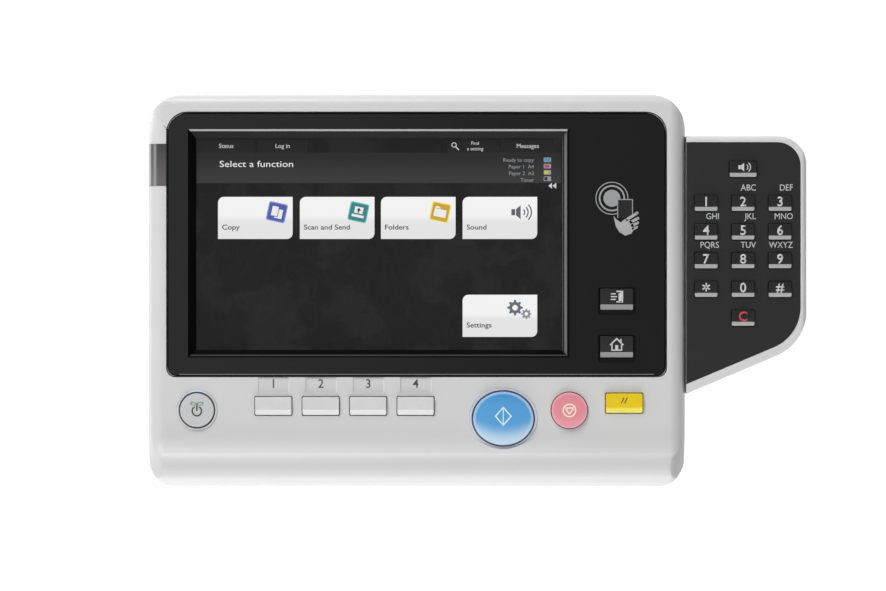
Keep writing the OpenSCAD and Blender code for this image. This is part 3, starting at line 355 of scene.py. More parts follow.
@dataclass(frozen=True)
class Circuit:
    """A printed circuit board: solder resist over copper tracks, with pads and part outlines."""

    name: str
    resist: Colour
    copper: Colour

    def material(self) -> bpy.types.Material:
        """Builds the finish."""
        graph = Graph(self.name)
        place = graph.place.outputs["Object"]
        flat = graph.node("ShaderNodeMapping", {}, {"Vector": place, "Rotation": (math.pi / 2, 0.0, 0.0)})
        cells = graph.node("ShaderNodeTexBrick", {"offset": 0.5}, {
            "Vector": flat.outputs[0],
            "Color1": grey(0.0), "Color2": grey(1.0), "Mortar": grey(0.5), "Scale": 1.0,
            "Mortar Size": 0.0003, "Brick Width": 0.009, "Row Height": 0.0022})
        track = Signal(graph, cells.outputs["Fac"])
        dots = graph.node("ShaderNodeTexVoronoi", {}, {"Vector": place, "Scale": 260.0})
        pad = Signal(graph, dots.outputs["Distance"]).span(0.2, 0.14)
        weave = graph.noise(0.5 * MM, 1.0)
        tone = graph.blend(track * 0.55, self.resist, tuple(c * 2.2 for c in self.resist))
        tone = graph.blend(pad, tone, self.copper)
        return graph.surface(Base_Color=tone, Roughness=weave * 0.12 + 0.26, Metallic=pad * 0.8,
                             Normal=graph.bump(track * 0.5 + weave * 0.2, 0.04 * MM))


@dataclass(frozen=True)
class Glow:
    """A moulding that light shows through, brighter towards the middle of one stretch of height."""

    name: str
    body: Colour
    light: Colour
    strength: float
    start: float
    end: float
    base: float = 0.1

    def material(self) -> bpy.types.Material:
        """Builds the finish: the light rises over the stretch from start to end."""
        graph = Graph(self.name)
        grain = graph.noise(0.5 * MM, 2.0)
        rise = graph.axis("Z").span(self.start, self.end)
        light = graph.blend(rise * (1 - self.base) + self.base, grey(0.0), self.light)
        tone = graph.blend(grain, tuple(c * 0.94 for c in self.body), self.body)
        return graph.surface(Base_Color=tone, Roughness=grain * 0.1 + 0.26, Emission_Color=light,
                             Emission_Strength=self.strength, Normal=graph.bump(grain, 0.01 * MM))


@dataclass(frozen=True)
class Print:
    """Printed ink, or a lit patch of the display when it has a glow."""

    name: str
    colour: Colour
    glow: float = 0.0
    roughness: float = 0.5

    def material(self) -> bpy.types.Material:
        """Builds the finish: a fine screen-printed dot, and light where the patch is lit."""
        graph = Graph(self.name)
        dots = graph.noise(0.22 * MM, 1.0)
        cloud = graph.noise(7 * MM, 1.0)
        near = tuple(c * 0.95 for c in self.colour)
        tone = graph.blend(dots * 0.5 + cloud * 0.5, near, self.colour)
        if not self.glow:
            return graph.surface(Base_Color=tone, Roughness=dots * 0.1 + (self.roughness - 0.05),
                                 Normal=graph.bump(dots, 0.004 * MM))
        return graph.surface(Base_Color=grey(0.01), Roughness=dots * 0.05 + 0.3, Emission_Color=tone,
                             Emission_Strength=self.glow)


# ---------------------------------------------------------------- pieces


def finish_piece(piece: bpy.types.Object, body: str, material: bpy.types.Material,
                 nodes: Sequence[str] = ()) -> bpy.types.Object:
    """Dresses a piece and fixes it to its body.

    Args:
        piece: the object, with its place in its mesh.
        body: the CAD body that carries it.
        material: its finish.
        nodes: the CAD nodes that it stands for.
    Returns:
        The piece.
    """
    piece.data.materials.clear()
    piece.data.materials.append(material)
    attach(piece, body)
    if nodes:
        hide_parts(*nodes)
    log.info("%s rides on %s", piece.name, body)
    return piece


def from_bmesh(name: str, mesh: bmesh.types.BMesh) -> bpy.types.Object:
    """Makes a scene object of a bmesh and frees it."""
    data = bpy.data.meshes.new(name)
    mesh.to_mesh(data)
    mesh.free()
    piece = bpy.data.objects.new(name, data)
    bpy.context.scene.collection.objects.link(piece)
    return piece


@dataclass
class Moulding:
    """A CAD node's own shape with its edges eased, which stands for the node."""

    WELD: ClassVar[float] = 0.0005 * MM
    FLAT: ClassVar[float] = math.radians(0.4)
    STEEPEST: ClassVar[float] = -0.98
    SHALLOWEST: ClassVar[float] = -0.5
    DOWNWARD: ClassVar[float] = -0.2

    node: str
    body: str
    slot: str
    edge: float = 0.25 * MM
    segments: int = 2
    crease: float = math.radians(32)

    def shape(self, mesh: bmesh.types.BMesh) -> None:
        """Leaves the welded mesh as CAD made it; a part that needs more overrides this."""

    def build(self, material: bpy.types.Material) -> bpy.types.Object:
        """Copies the node's mesh, welds it, eases its edges and dresses it."""
        mesh = bmesh.new()
        mesh.from_mesh(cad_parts[self.node].data)
        bmesh.ops.remove_doubles(mesh, verts=mesh.verts, dist=self.WELD)
        bmesh.ops.dissolve_limit(mesh, angle_limit=self.FLAT, verts=mesh.verts, edges=mesh.edges)
        self.shape(mesh)
        slope = mesh.faces.layers.float.new(SLOPE)
        for face in mesh.faces:
            face.smooth = True
            leans = self.STEEPEST < face.normal.y < self.SHALLOWEST
            face[slope] = float(leans and face.normal.z < self.DOWNWARD)
        piece = from_bmesh(f"{self.node}_shell", mesh)
        if "custom_normal" in piece.data.attributes:
            piece.data.attributes.remove(piece.data.attributes["custom_normal"])
        if self.edge:
            eased = piece.modifiers.new("eased_edges", "BEVEL")
            eased.width = self.edge
            eased.segments = self.segments
            eased.limit_method = "ANGLE"
            eased.angle_limit = self.crease
            eased.use_clamp_overlap = True
            eased.harden_normals = True
            level = piece.modifiers.new("level_faces", "WEIGHTED_NORMAL")
            level.keep_sharp = True
            level.weight = 100
        else:
            piece.data.set_sharp_from_angle(angle=self.crease)
        return finish_piece(piece, self.body, material, (self.node,))


@dataclass
class RoundedSide(Moulding):
    """A moulding of the front cover, whose left and right sides fall away in a wide curve.

    Depths are forward from the origin. The hand rest's lower edge also lifts towards its two ends.
    """

    fall: float = 10.0 * MM
    cuts: int = 12
    crowding: float = 1.5
    clear: float = 0.02 * MM
    seam_depth: float = 45.0 * MM
    face_depth: float = 65.0 * MM
    nose_level: float = -95.0 * MM
    nose_lift: float = 0.92
    nose_reach: float = 10.0 * MM

    def shape(self, mesh: bmesh.types.BMesh) -> None:
        """Cuts the sides into narrow strips and lays each strip back along the curve."""
        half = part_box("front_cover")[1].x
        for cut in range(self.cuts):
            inside = self.fall * (cut / self.cuts) ** self.crowding
            for side in (-1, 1):
                place = side * (half - inside - self.clear)
                bmesh.ops.bisect_plane(mesh, geom=[*mesh.verts, *mesh.edges, *mesh.faces], dist=1e-7,
                                       plane_co=(place, 0, 0), plane_no=(1, 0, 0))
        for vertex in mesh.verts:
            across = self.fall - (half - abs(vertex.co.x))
            depth = -vertex.co.y - self.seam_depth
            if across > 0 and depth > 0:
                drop = self.fall - math.sqrt(max(0.0, self.fall ** 2 - across ** 2))
                vertex.co.y = -(self.seam_depth + depth * (1 - drop / (self.face_depth - self.seam_depth)))
                under = max(0.0, self.nose_level - vertex.co.z)
                vertex.co.z += under * self.nose_lift * (drop / self.fall) * min(1.0, depth / self.nose_reach)
        mesh.normal_update()


class Align(Enum):
    """Which end of a line of lettering stands at its given place."""

    LEFT = 0.0
    CENTRE = 0.5
    RIGHT = 1.0


class Artwork:
    """Flat shapes on a face that looks forward, gathered into one thin piece.

    Places are (across, up) in metres in the frame, and depth is how far forward the face is.
    """

    def __init__(self, depth: float, thickness: float = INK) -> None:
        """Starts an empty piece of artwork.

        Args:
            depth: how far the face that carries it stands in front of the origin.
            thickness: how far the artwork stands off that face.
        """
        self.depth = depth - SINK
        self.thickness = thickness + SINK
        self.mesh = bmesh.new()
        self.origin = Vector((0.0, 0.0, 0.0))
        self.turn = 0.0

    def at(self, x: float, z: float, turn: float = 0.0) -> "Artwork":
        """Sets where the next shapes are drawn from, and how far they are turned (degrees, clockwise)."""
        self.origin = Vector((x, 0.0, z))
        self.turn = math.radians(turn)
        return self

    def _settle(self, fresh: Iterable[bmesh.types.BMVert]) -> None:
        """Puts new vertices, drawn round the local origin, in their place on the face."""
        shift = Matrix.Translation((self.origin.x, -self.depth, self.origin.z))
        place = shift @ Matrix.Rotation(self.turn, 4, "Y")
        bmesh.ops.transform(self.mesh, matrix=place, verts=list(fresh))

    def polygon(self, points: Sequence[Point]) -> "Artwork":
        """Fills an outline of a few points."""
        corners = [self.mesh.verts.new((x, 0.0, z)) for x, z in points]
        self.mesh.faces.new(corners)
        self._settle(corners)
        return self

    def rectangle(self, x0: float, z0: float, x1: float, z1: float,
                  corners: tuple[float, float, float, float] = (0.0, 0.0, 0.0, 0.0)) -> "Artwork":
        """Fills a rectangle.

        Args:
            x0, z0, x1, z1: its lower left and upper right corners.
            corners: radii at the lower left, lower right, upper right and upper left.
        Returns:
            This artwork.
        """
        points: list[Point] = []
        arcs = ((x0, z0, 1, 1, 180), (x1, z0, -1, 1, 270), (x1, z1, -1, -1, 0), (x0, z1, 1, -1, 90))
        for radius, (x, z, right, up, start) in zip(corners, arcs):
            steps = 8 if radius else 0
            for step in range(steps + 1):
                angle = math.radians(start + 90 * step / max(steps, 1))
                points.append((x + radius * (right + math.cos(angle)), z + radius * (up + math.sin(angle)))
                              if radius else (x, z))
        return self.polygon(points)

    def frame(self, x0: float, z0: float, x1: float, z1: float, corners: tuple[float, float, float, float],
              width: float) -> "Artwork":
        """Fills the band of that width inside a rectangle with rounded corners, given as for rectangle."""
        known = set(self.mesh.verts)
        origin, turn = self.origin, self.turn
        self.at(0.0, 0.0).rectangle(x0, z0, x1, z1, corners)
        self.mesh.faces.ensure_lookup_table()
        whole = self.mesh.faces[-1]
        bmesh.ops.inset_region(self.mesh, faces=[whole], thickness=width, use_boundary=True,
                               use_even_offset=True)
        bmesh.ops.delete(self.mesh, geom=[whole], context="FACES_ONLY")
        self.origin, self.turn = origin, turn
        place = Matrix.Translation((origin.x, 0.0, origin.z)) @ Matrix.Rotation(turn, 4, "Y")
        bmesh.ops.transform(self.mesh, matrix=place, verts=[v for v in self.mesh.verts if v not in known])
        return self

    def disc(self, x: float, z: float, radius: float, height: float | None = None) -> "Artwork":
        """Fills a circle, or an ellipse when height gives its vertical half."""
        place = Matrix.Translation((x, 0.0, z)) @ Matrix.Diagonal((radius, 1.0, height or radius, 1.0))
        made = bmesh.ops.create_circle(self.mesh, cap_ends=True, radius=1.0, segments=48,
                                       matrix=place @ Matrix.Rotation(math.pi / 2, 4, "X"))
        self._settle(made["verts"])
        return self

    def ring(self, x: float, z: float, outer: float, inner: float, start: float = 0.0,
             end: float = 360.0, squash: float = 1.0) -> "Artwork":
        """Fills the band between two circles, spun from one short edge.

        Args:
            x, z: the centre.
            outer, inner: the radii.
            start, end: where the band starts and ends, in degrees anticlockwise from the right.
            squash: its height as a share of its width.
        Returns:
            This artwork.
        """
        whole = end - start >= 360.0
        across, up = math.cos(math.radians(start)), math.sin(math.radians(start))
        first = [self.mesh.verts.new((r * across, 0.0, r * up)) for r in (inner, outer)]
        edge = self.mesh.edges.new(first)
        known = set(self.mesh.verts) - set(first)
        steps = max(6, int((end - start) / 7.5))
        bmesh.ops.spin(self.mesh, geom=[*first, edge], cent=(0, 0, 0), axis=(0, -1, 0), dvec=(0, 0, 0),
                       angle=math.radians(end - start), steps=steps, use_merge=whole)
        band = [v for v in self.mesh.verts if v not in known]
        bmesh.ops.transform(self.mesh, verts=band,
                            matrix=Matrix.Translation((x, 0.0, z)) @ Matrix.Diagonal((1.0, 1.0, squash, 1.0)))
        self._settle(band)
        return self

    def stroke(self, points: Sequence[Point], width: float) -> "Artwork":
        """Draws a line of even width through the points, with mitred corners."""
        left: list[Point] = []
        right: list[Point] = []
        for index, (x, z) in enumerate(points):
            before = Vector(points[max(index - 1, 0)])
            after = Vector(points[min(index + 1, len(points) - 1)])
            here = Vector((x, z))
            heads = [v.normalized() for v in (here - before, after - here) if v.length > 0]
            lean = sum(heads, Vector((0.0, 0.0))).normalized()
            reach = width / 2 / max(0.4, lean.dot(heads[0]))
            left.append((x - lean.y * reach, z + lean.x * reach))
            right.append((x + lean.y * reach, z - lean.x * reach))
        for index in range(len(points) - 1):
            self.polygon([right[index], right[index + 1], left[index + 1], left[index]])
        return self

    def text(self, words: str, x: float, z: float, height: float, align: Align = Align.CENTRE,
             weight: float = 0.0, squeeze: float = 1.0) -> "Artwork":
        """Sets a line of lettering.

        Args:
            words: what it says.
            x, z: where its baseline starts, is centred or ends.
            height: how tall a capital is.
            align: which end x stands for.
            weight: how much bolder than plain, as a share of the height.
            squeeze: its width as a share of the plain width.
        Returns:
            This artwork.
        """
        curve = bpy.data.curves.new("lettering", "FONT")
        curve.body = words
        curve.size = 1.0
        curve.offset = weight
        curve.resolution_u = 3
        holder = bpy.data.objects.new("lettering", curve)
        bpy.context.scene.collection.objects.link(holder)
        bpy.context.view_layer.update()
        flat = bpy.data.meshes.new_from_object(holder.evaluated_get(bpy.context.evaluated_depsgraph_get()))
        bpy.data.objects.remove(holder)
        bpy.data.curves.remove(curve)
        letters = bmesh.new()
        letters.from_mesh(flat)
        bpy.data.meshes.remove(flat)
        bmesh.ops.remove_doubles(letters, verts=letters.verts, dist=0.0002)
        size = height / CAPITAL
        left = min(v.co.x for v in letters.verts)
        right = max(v.co.x for v in letters.verts)
        start = -(left + (right - left) * align.value)
        bmesh.ops.transform(letters, verts=letters.verts, matrix=Matrix.Translation((x, 0.0, z))
                            @ Matrix.Diagonal((size * squeeze, 1.0, size, 1.0))
                            @ Matrix.Rotation(math.pi / 2, 4, "X") @ Matrix.Translation((start, 0.0, 0.0)))
        carried = bpy.data.meshes.new("lettering")
        letters.to_mesh(carried)
        letters.free()
        known = set(self.mesh.verts)
        self.mesh.from_mesh(carried)
        bpy.data.meshes.remove(carried)
        self._settle(v for v in self.mesh.verts if v not in known)
        return self

    def finish(self, name: str, body: str, slot: str, material: bpy.types.Material) -> bpy.types.Object:
        """Gives the shapes their thickness and makes them one piece that rides on a body."""
        bmesh.ops.recalc_face_normals(self.mesh, faces=self.mesh.faces)
        back = [face for face in self.mesh.faces if face.normal.y > 0]
        bmesh.ops.reverse_faces(self.mesh, faces=back)
        piece = from_bmesh(name, self.mesh)
        ink = piece.modifiers.new("ink", "SOLIDIFY")
        ink.thickness = self.thickness
        ink.offset = 1.0
        return finish_piece(piece, body, material)


# ---------------------------------------------------------------- studio


@dataclass
class Studio:
    """A pale floor, a soft surround and the lamps and camera."""

    floor_drop: float = 0.75
    floor_radius: float = 6.0
    picture_width: float = 0.4784
    lens: float = 150.0
    sensor: float = 36.0
    aim: Point = (0.0143, -0.0027)
    near: float = 0.065
    lean: Colour = (-0.28, 0.60, -0.02)
    level: float = 0.49
    least: float = 0.22
    target: Colour = (0.0, -0.05, 0.0)

    def camera(self) -> None:
        """Stands the camera square on to the panel, far enough back for its lens."""
        data = bpy.data.cameras.new("camera")
        data.lens = self.lens
        data.sensor_width = self.sensor
        data.clip_end = 50.0
        camera = bpy.data.objects.new("camera", data)
        back = self.picture_width * self.lens / self.sensor + self.near
        camera.location = (self.aim[0], -back, self.aim[1])
        camera.rotation_euler = (math.pi / 2, 0.0, 0.0)
        bpy.context.scene.collection.objects.link(camera)
        bpy.context.scene.camera = camera

    def lamp(self, name: str, place: Colour, width: float, height: float, power: float) -> None:
        """Hangs a soft box that points at the panel.

        Args:
            name: what it is called.
            place: where it hangs.
            width, height: the size of its face.
            power: its output in watts.
        """
        data = bpy.data.lights.new(name, "AREA")
        data.shape = "RECTANGLE"
        data.size = width
        data.size_y = height
        data.energy = power
        lamp = bpy.data.objects.new(name, data)
        lamp.location = place
        lamp.rotation_mode = "QUATERNION"
        lamp.rotation_quaternion = (Vector(self.target) - Vector(place)).to_track_quat("-Z", "Y")
        bpy.context.scene.collection.objects.link(lamp)

    def surround(self) -> None:
        """Wraps the scene in soft light, brighter behind and at the left."""
        world = bpy.data.worlds.new("surround")
        bpy.context.scene.world = world
        world.use_nodes = True
        nodes, links = world.node_tree.nodes, world.node_tree.links
        nodes.clear()
        place = nodes.new("ShaderNodeTexCoord")
        weigh = nodes.new("ShaderNodeVectorMath")
        weigh.operation = "DOT_PRODUCT"
        weigh.inputs[1].default_value = self.lean
        level = nodes.new("ShaderNodeMath")
        level.operation = "ADD"
        level.inputs[1].default_value = self.level
        least = nodes.new("ShaderNodeMath")
        least.operation = "MAXIMUM"
        least.inputs[1].default_value = self.least
        light = nodes.new("ShaderNodeBackground")
        light.inputs["Color"].default_value = (1.0, 1.0, 1.0, 1.0)
        out = nodes.new("ShaderNodeOutputWorld")
        links.new(place.outputs["Generated"], weigh.inputs[0])
        links.new(weigh.outputs["Value"], level.inputs[0])
        links.new(level.outputs[0], least.inputs[0])
        links.new(least.outputs[0], light.inputs["Strength"])
        links.new(light.outputs[0], out.inputs["Surface"])

    def floor(self) -> None:
        """Lays a round pale floor under the panel."""
        mesh = bmesh.new()
        low = CAD_BOX[0].z - self.floor_drop
        bmesh.ops.create_circle(mesh, cap_ends=True, radius=self.floor_radius, segments=96,
                                matrix=Matrix.Translation((0.0, 0.0, low)))
        piece = from_bmesh("floor", mesh)
        paint = Plastic("floor_paint", grey(0.82), 0.7, 2 * MM, 0.05 * MM, 0.02)
        piece.data.materials.append(paint.material())
        piece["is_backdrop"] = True

    def build(self) -> None:
        """Sets the whole studio."""
        view = bpy.context.scene.view_settings
        view.view_transform = "Standard"
        self.camera()
        self.surround()
        self.floor()
        self.lamp("key_softbox", (-0.9, -1.2, 1.2), 0.9, 0.7, 14.5)
        self.lamp("top_softbox", (-0.3, -0.85, 1.75), 0.9, 0.5, 15.0)
        self.lamp("low_softbox", (-0.10, -0.24, -0.80), 1.6, 0.30, 5.5)
        self.lamp("rear_softbox", (-1.0, 1.5, 0.9), 1.4, 1.0, 22.0)


# ---------------------------------------------------------------- keys


@dataclass
class Key:
    """A key that slides in its own body, and the marks printed on its face."""

    node: str
    slot: str
    edge: float = 0.3 * MM
    slope: float = 2.2 * MM

    @property
    def body(self) -> str:
        """The body that carries the key."""
        return f"{self.node}_body"

    def middle(self) -> Point:
        """Gives the middle of the flat part of its face."""
        low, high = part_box(self.node)
        return (low.x + high.x) / 2, (self.base() + self.slope + high.z) / 2

    def base(self) -> float:
        """Gives how high its lowest edge is."""
        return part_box(self.node)[0].z

    def artwork(self, lift: float = 0.0) -> Artwork:
        """Starts artwork on its face, from the middle of the flat part."""
        return Artwork(-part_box(self.node)[0].y + lift).at(*self.middle())

    def build(self, material: bpy.types.Material) -> None:
        """Builds the key's shell."""
        Moulding(self.node, self.body, self.slot, self.edge, 3).build(material)

    def mark(self, art: Artwork, name: str, ink: bpy.types.Material) -> None:
        """Fixes finished artwork to the key."""
        art.finish(f"{self.node}_{name}", self.body, self.slot, ink)


def speaker_cone(art: Artwork, size: float) -> Artwork:
    """Draws a loudspeaker whose body is about size across."""
    art.polygon([(-0.5 * size, -0.2 * size), (-0.25 * size, -0.2 * size), (-0.25 * size, 0.2 * size),
                 (-0.5 * size, 0.2 * size)])
    return art.polygon([(-0.2 * size, -0.2 * size), (0.1 * size, -0.45 * size), (0.1 * size, 0.45 * size),
                        (-0.2 * size, 0.2 * size)])


@dataclass
class Inks:
    """The printing inks and lit colours that marks are made in."""

    def __post_init__(self) -> None:
        """Mixes the inks."""
        self.white = Print("white_ink", shade(208, 209, 210)).material()
        self.grey = Print("grey_ink", shade(158, 159, 160)).material()
        self.dark = Print("dark_ink", shade(52, 60, 66)).material()
        self.green = Print("green_ink", shade(58, 122, 74)).material()
        self.red = Print("red_ink", shade(214, 64, 66)).material()
        self.ivory = Print("ivory_ink", shade(250, 246, 226)).material()


@dataclass
class FunctionRow:
    """The row of keys under the screen, with its power and start keys."""

    inks: Inks
    shallow_slope: float = 2.9 * MM

    def power(self) -> None:
        """Builds the silver power key with its mark, in a ring with a pale blue light at its top."""
        key = Key("power_key", "key_silver", slope=0.0)
        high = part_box("power_key")[1]
        # The paler second colour is a painted highlight on the key's lower edge.
        key.build(KeyPlastic("silver_key", shade(202, 203, 204), shade(214, 214, 214), 0.3).material())
        art = key.artwork()
        art.ring(0.0, -0.5 * MM, 2.9 * MM, 2.15 * MM, 118.0, 422.0)
        art.rectangle(-0.38 * MM, -0.4 * MM, 0.38 * MM, 2.9 * MM)
        key.mark(art, "symbol", self.inks.dark)
        leaves = key.artwork()
        middle, level = key.middle()
        for side in (-1, 1):
            leaves.at(middle + side * 1.8 * MM, level + 3.5 * MM, -side * 8.0)
            leaves.ring(0.0, 0.0, 1.75 * MM, 1.3 * MM, squash=0.52)
        key.mark(leaves, "leaves", self.inks.green)
        glow = Glow("power_light", shade(216, 218, 220), shade(120, 180, 255), 0.5, high.z - 2 * MM,
                    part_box("power_ring")[1].z, 0.0)
        Moulding("power_ring", "panel", "light_ring", 0.12 * MM).build(glow.material())

    def function_keys(self) -> None:
        """Builds the four light keys."""
        # The paler second colour is a painted highlight on each key's lower slope.
        finish = KeyPlastic("light_key", shade(213, 213, 213), shade(238, 238, 238), 0.4).material()
        for number in range(1, 5):
            Key(f"function_key_{number}", "key_grey", 0.35 * MM, self.shallow_slope).build(finish)

    def start(self) -> None:
        """Builds the blue start key with its diamond, in a lit ring."""
        key = Key("start_key", "key_blue", 0.3 * MM, 0.0)
        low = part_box("start_key")[0]
        # Its colours are painted light: darker at the top, a near-white painted highlight at the lower edge
        # and a pale painted ring.
        key.build(CrownedKey("blue_key", shade(70, 148, 212), shade(86, 162, 220), shade(214, 236, 250),
                             "start_key", shade(196, 222, 246)).material())
        art = Artwork(-low.y - 0.25 * MM, 0.3 * MM).at(*key.middle())
        middle, level = key.middle()
        art.at(middle, level + 1.2 * MM)
        half_wide, half_high, line = 4.7 * MM, 5.3 * MM, 1.0 * MM
        corners = [(0.0, half_high), (half_wide, 0.0), (0.0, -half_high), (-half_wide, 0.0)]
        inner = [(x * (1 - line / half_wide), z * (1 - line / half_high)) for x, z in corners]
        for index in range(4):
            after = (index + 1) % 4
            art.polygon([corners[index], inner[index], inner[after], corners[after]])
        art.rectangle(-0.28 * MM, -half_high + line, 0.28 * MM, half_high - line)
        key.mark(art, "diamond", Print("start_mark", shade(214, 246, 255), 0.0, 0.35).material())
        halo = Glow("start_light", shade(218, 218, 227), shade(150, 150, 255), 0.02, low.z,
                    low.z + 8 * MM, 0.5)
        Moulding("start_ring", "panel", "light_ring", 0.12 * MM).build(halo.material())

    def stop(self) -> None:
        """Builds the pink stop key with its mark."""
        key = Key("stop_key", "key_pink", 0.3 * MM, 0.0)
        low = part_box("stop_key")[0]
        # Its colours are painted light: darker at the top, a paler painted highlight at the lower edge and a
        # pale painted ring.
        key.build(CrownedKey("pink_key", shade(228, 142, 152), shade(234, 144, 156), shade(238, 164, 176),
                             "stop_key", shade(244, 178, 188)).material())
        art = Artwork(-low.y - 0.12 * MM, 0.16 * MM).at(*key.middle())
        art.ring(0.0, 0.0, 3.7 * MM, 3.0 * MM)
        art.stroke([(-2.1 * MM, 1.3 * MM), (2.1 * MM, 1.3 * MM)], 0.7 * MM)
        for side in (-1, 1):
            art.stroke([(side * 2.1 * MM, 1.0 * MM), (0.0, -2.1 * MM)], 0.7 * MM)
        key.mark(art, "symbol", self.inks.ivory)

    def reset(self) -> None:
        """Builds the yellow reset key with its two slanted strokes."""
        key = Key("reset_key", "key_yellow", 0.35 * MM, self.shallow_slope)
        # The paler yellow is a painted highlight on the key's lower slope.
        key.build(KeyPlastic("yellow_key", shade(234, 200, 0), shade(248, 232, 84), 0.42).material())
        art = key.artwork()
        for step in (-0.9 * MM, 0.9 * MM):
            art.polygon([(step - 1.0 * MM, -1.5 * MM), (step - 0.4 * MM, -1.5 * MM),
                         (step + 1.0 * MM, 1.5 * MM), (step + 0.4 * MM, 1.5 * MM)])
        key.mark(art, "strokes", self.inks.dark)

    def build(self) -> None:
        """Builds every key of the row."""
        self.power()
        self.function_keys()
        self.start()
        self.stop()
        self.reset()


@dataclass
class SideKeys:
    """The two black keys beside the screen, and the contactless reader's mark above them."""

    inks: Inks
    slope: float = 3.0 * MM
    palm: tuple[Point, ...] = (
        (1.0, -9.6), (2.4, -11.4), (4.6, -13.0), (7.4, -11.0), (11.2, -12.6),
        (12.0, -16.0), (10.6, -19.0), (7.2, -20.2), (4.2, -18.4), (2.0, -15.0))
    fingers: tuple[tuple[Point, Point], ...] = (
        ((7.6, -11.8), (13.6, -8.0)), ((9.6, -13.2), (14.0, -10.8)),
        ((10.4, -15.0), (13.9, -13.2)), ((11.0, -16.8), (13.3, -15.6)))

    def access(self, finish: bpy.types.Material) -> None:
        """Builds the sign-in key with its doorway and arrow."""
        key = Key("access_key", "key_black", 0.3 * MM, self.slope)
        key.build(finish)
        art = key.artwork()
        doorway = ((-0.2, 2.8), (3.1, 2.8), (3.1, -2.8), (-0.2, -2.8))
        door = ((1.0, -2.4), (2.7, -3.1), (2.7, 2.4), (1.0, 1.7))
        art.stroke(in_mm(doorway), 0.7 * MM)
        art.polygon(in_mm(door))
        for level in (-1.5, 0.0, 1.5):
            art.rectangle(-3.2 * MM, (level - 0.32) * MM, (0.2 - 0.5 * abs(level)) * MM, (level + 0.32) * MM)
        key.mark(art, "doorway", self.inks.white)

    def home(self, finish: bpy.types.Material) -> None:
        """Builds the home key with its house."""
        key = Key("home_key", "key_black", 0.3 * MM, self.slope)
        key.build(finish)
        art = key.artwork()
        art.stroke([(-3.6 * MM, -0.5 * MM), (0.0, 3.0 * MM), (3.6 * MM, -0.5 * MM)], 0.75 * MM)
        art.stroke(in_mm(((-2.6, 0.3), (-2.6, -3.2), (2.6, -3.2), (2.6, 0.3))), 0.65 * MM)
        art.rectangle(-0.8 * MM, -2.9 * MM, 0.8 * MM, -0.5 * MM)
        art.rectangle(1.9 * MM, 1.3 * MM, 2.6 * MM, 2.9 * MM)
        key.mark(art, "house", self.inks.white)

    def reader_mark(self) -> None:
        """Prints the reader's rings, card and hand on the bezel."""
        low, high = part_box("nfc_antenna")
        face = -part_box("display_bezel")[0].y
        x, z = (low.x + high.x) / 2 - 2.6 * MM, (low.z + high.z) / 2 - 1.7 * MM
        art = Artwork(face).at(x, z)
        art.ring(0.0, 0.0, 8.9 * MM, 8.4 * MM).ring(0.0, 0.0, 7.1 * MM, 6.2 * MM).disc(0.0, 0.0, 4.6 * MM)
        art.finish("reader_rings", "panel", "gloss_black", self.inks.grey)
        card = Artwork(face, 2 * INK).at(x, z)
        card.rectangle(2.9 * MM, -10.6 * MM, 11.3 * MM, -0.5 * MM, (0.4 * MM,) * 4)
        card.finish("reader_card", "panel", "gloss_black", Print("card_ink", shade(22, 22, 23)).material())
        line = Artwork(face, 2.4 * INK).at(x, z)
        line.stroke(in_mm(((3.1, -10.6), (3.1, -0.7), (11.1, -0.7), (11.1, -10.6))), 0.5 * MM)
        line.finish("reader_card_edge", "panel", "gloss_black", self.inks.grey)
        hand = Artwork(face, 3 * INK).at(x, z)
        hand.polygon(in_mm(self.palm))
        for start, end in self.fingers:
            hand.stroke(in_mm((start, end)), 1.5 * MM)
            hand.disc(end[0] * MM, end[1] * MM, 0.75 * MM)
        hand.finish("reader_hand", "panel", "gloss_black", Print("hand_ink", shade(176, 176, 177)).material())

    def build(self) -> None:
        """Builds both keys and the mark."""
        finish = KeyPlastic("side_key_black", shade(36, 36, 37), shade(150, 151, 152), 0.3).material()
        self.access(finish)
        self.home(finish)
        self.reader_mark()


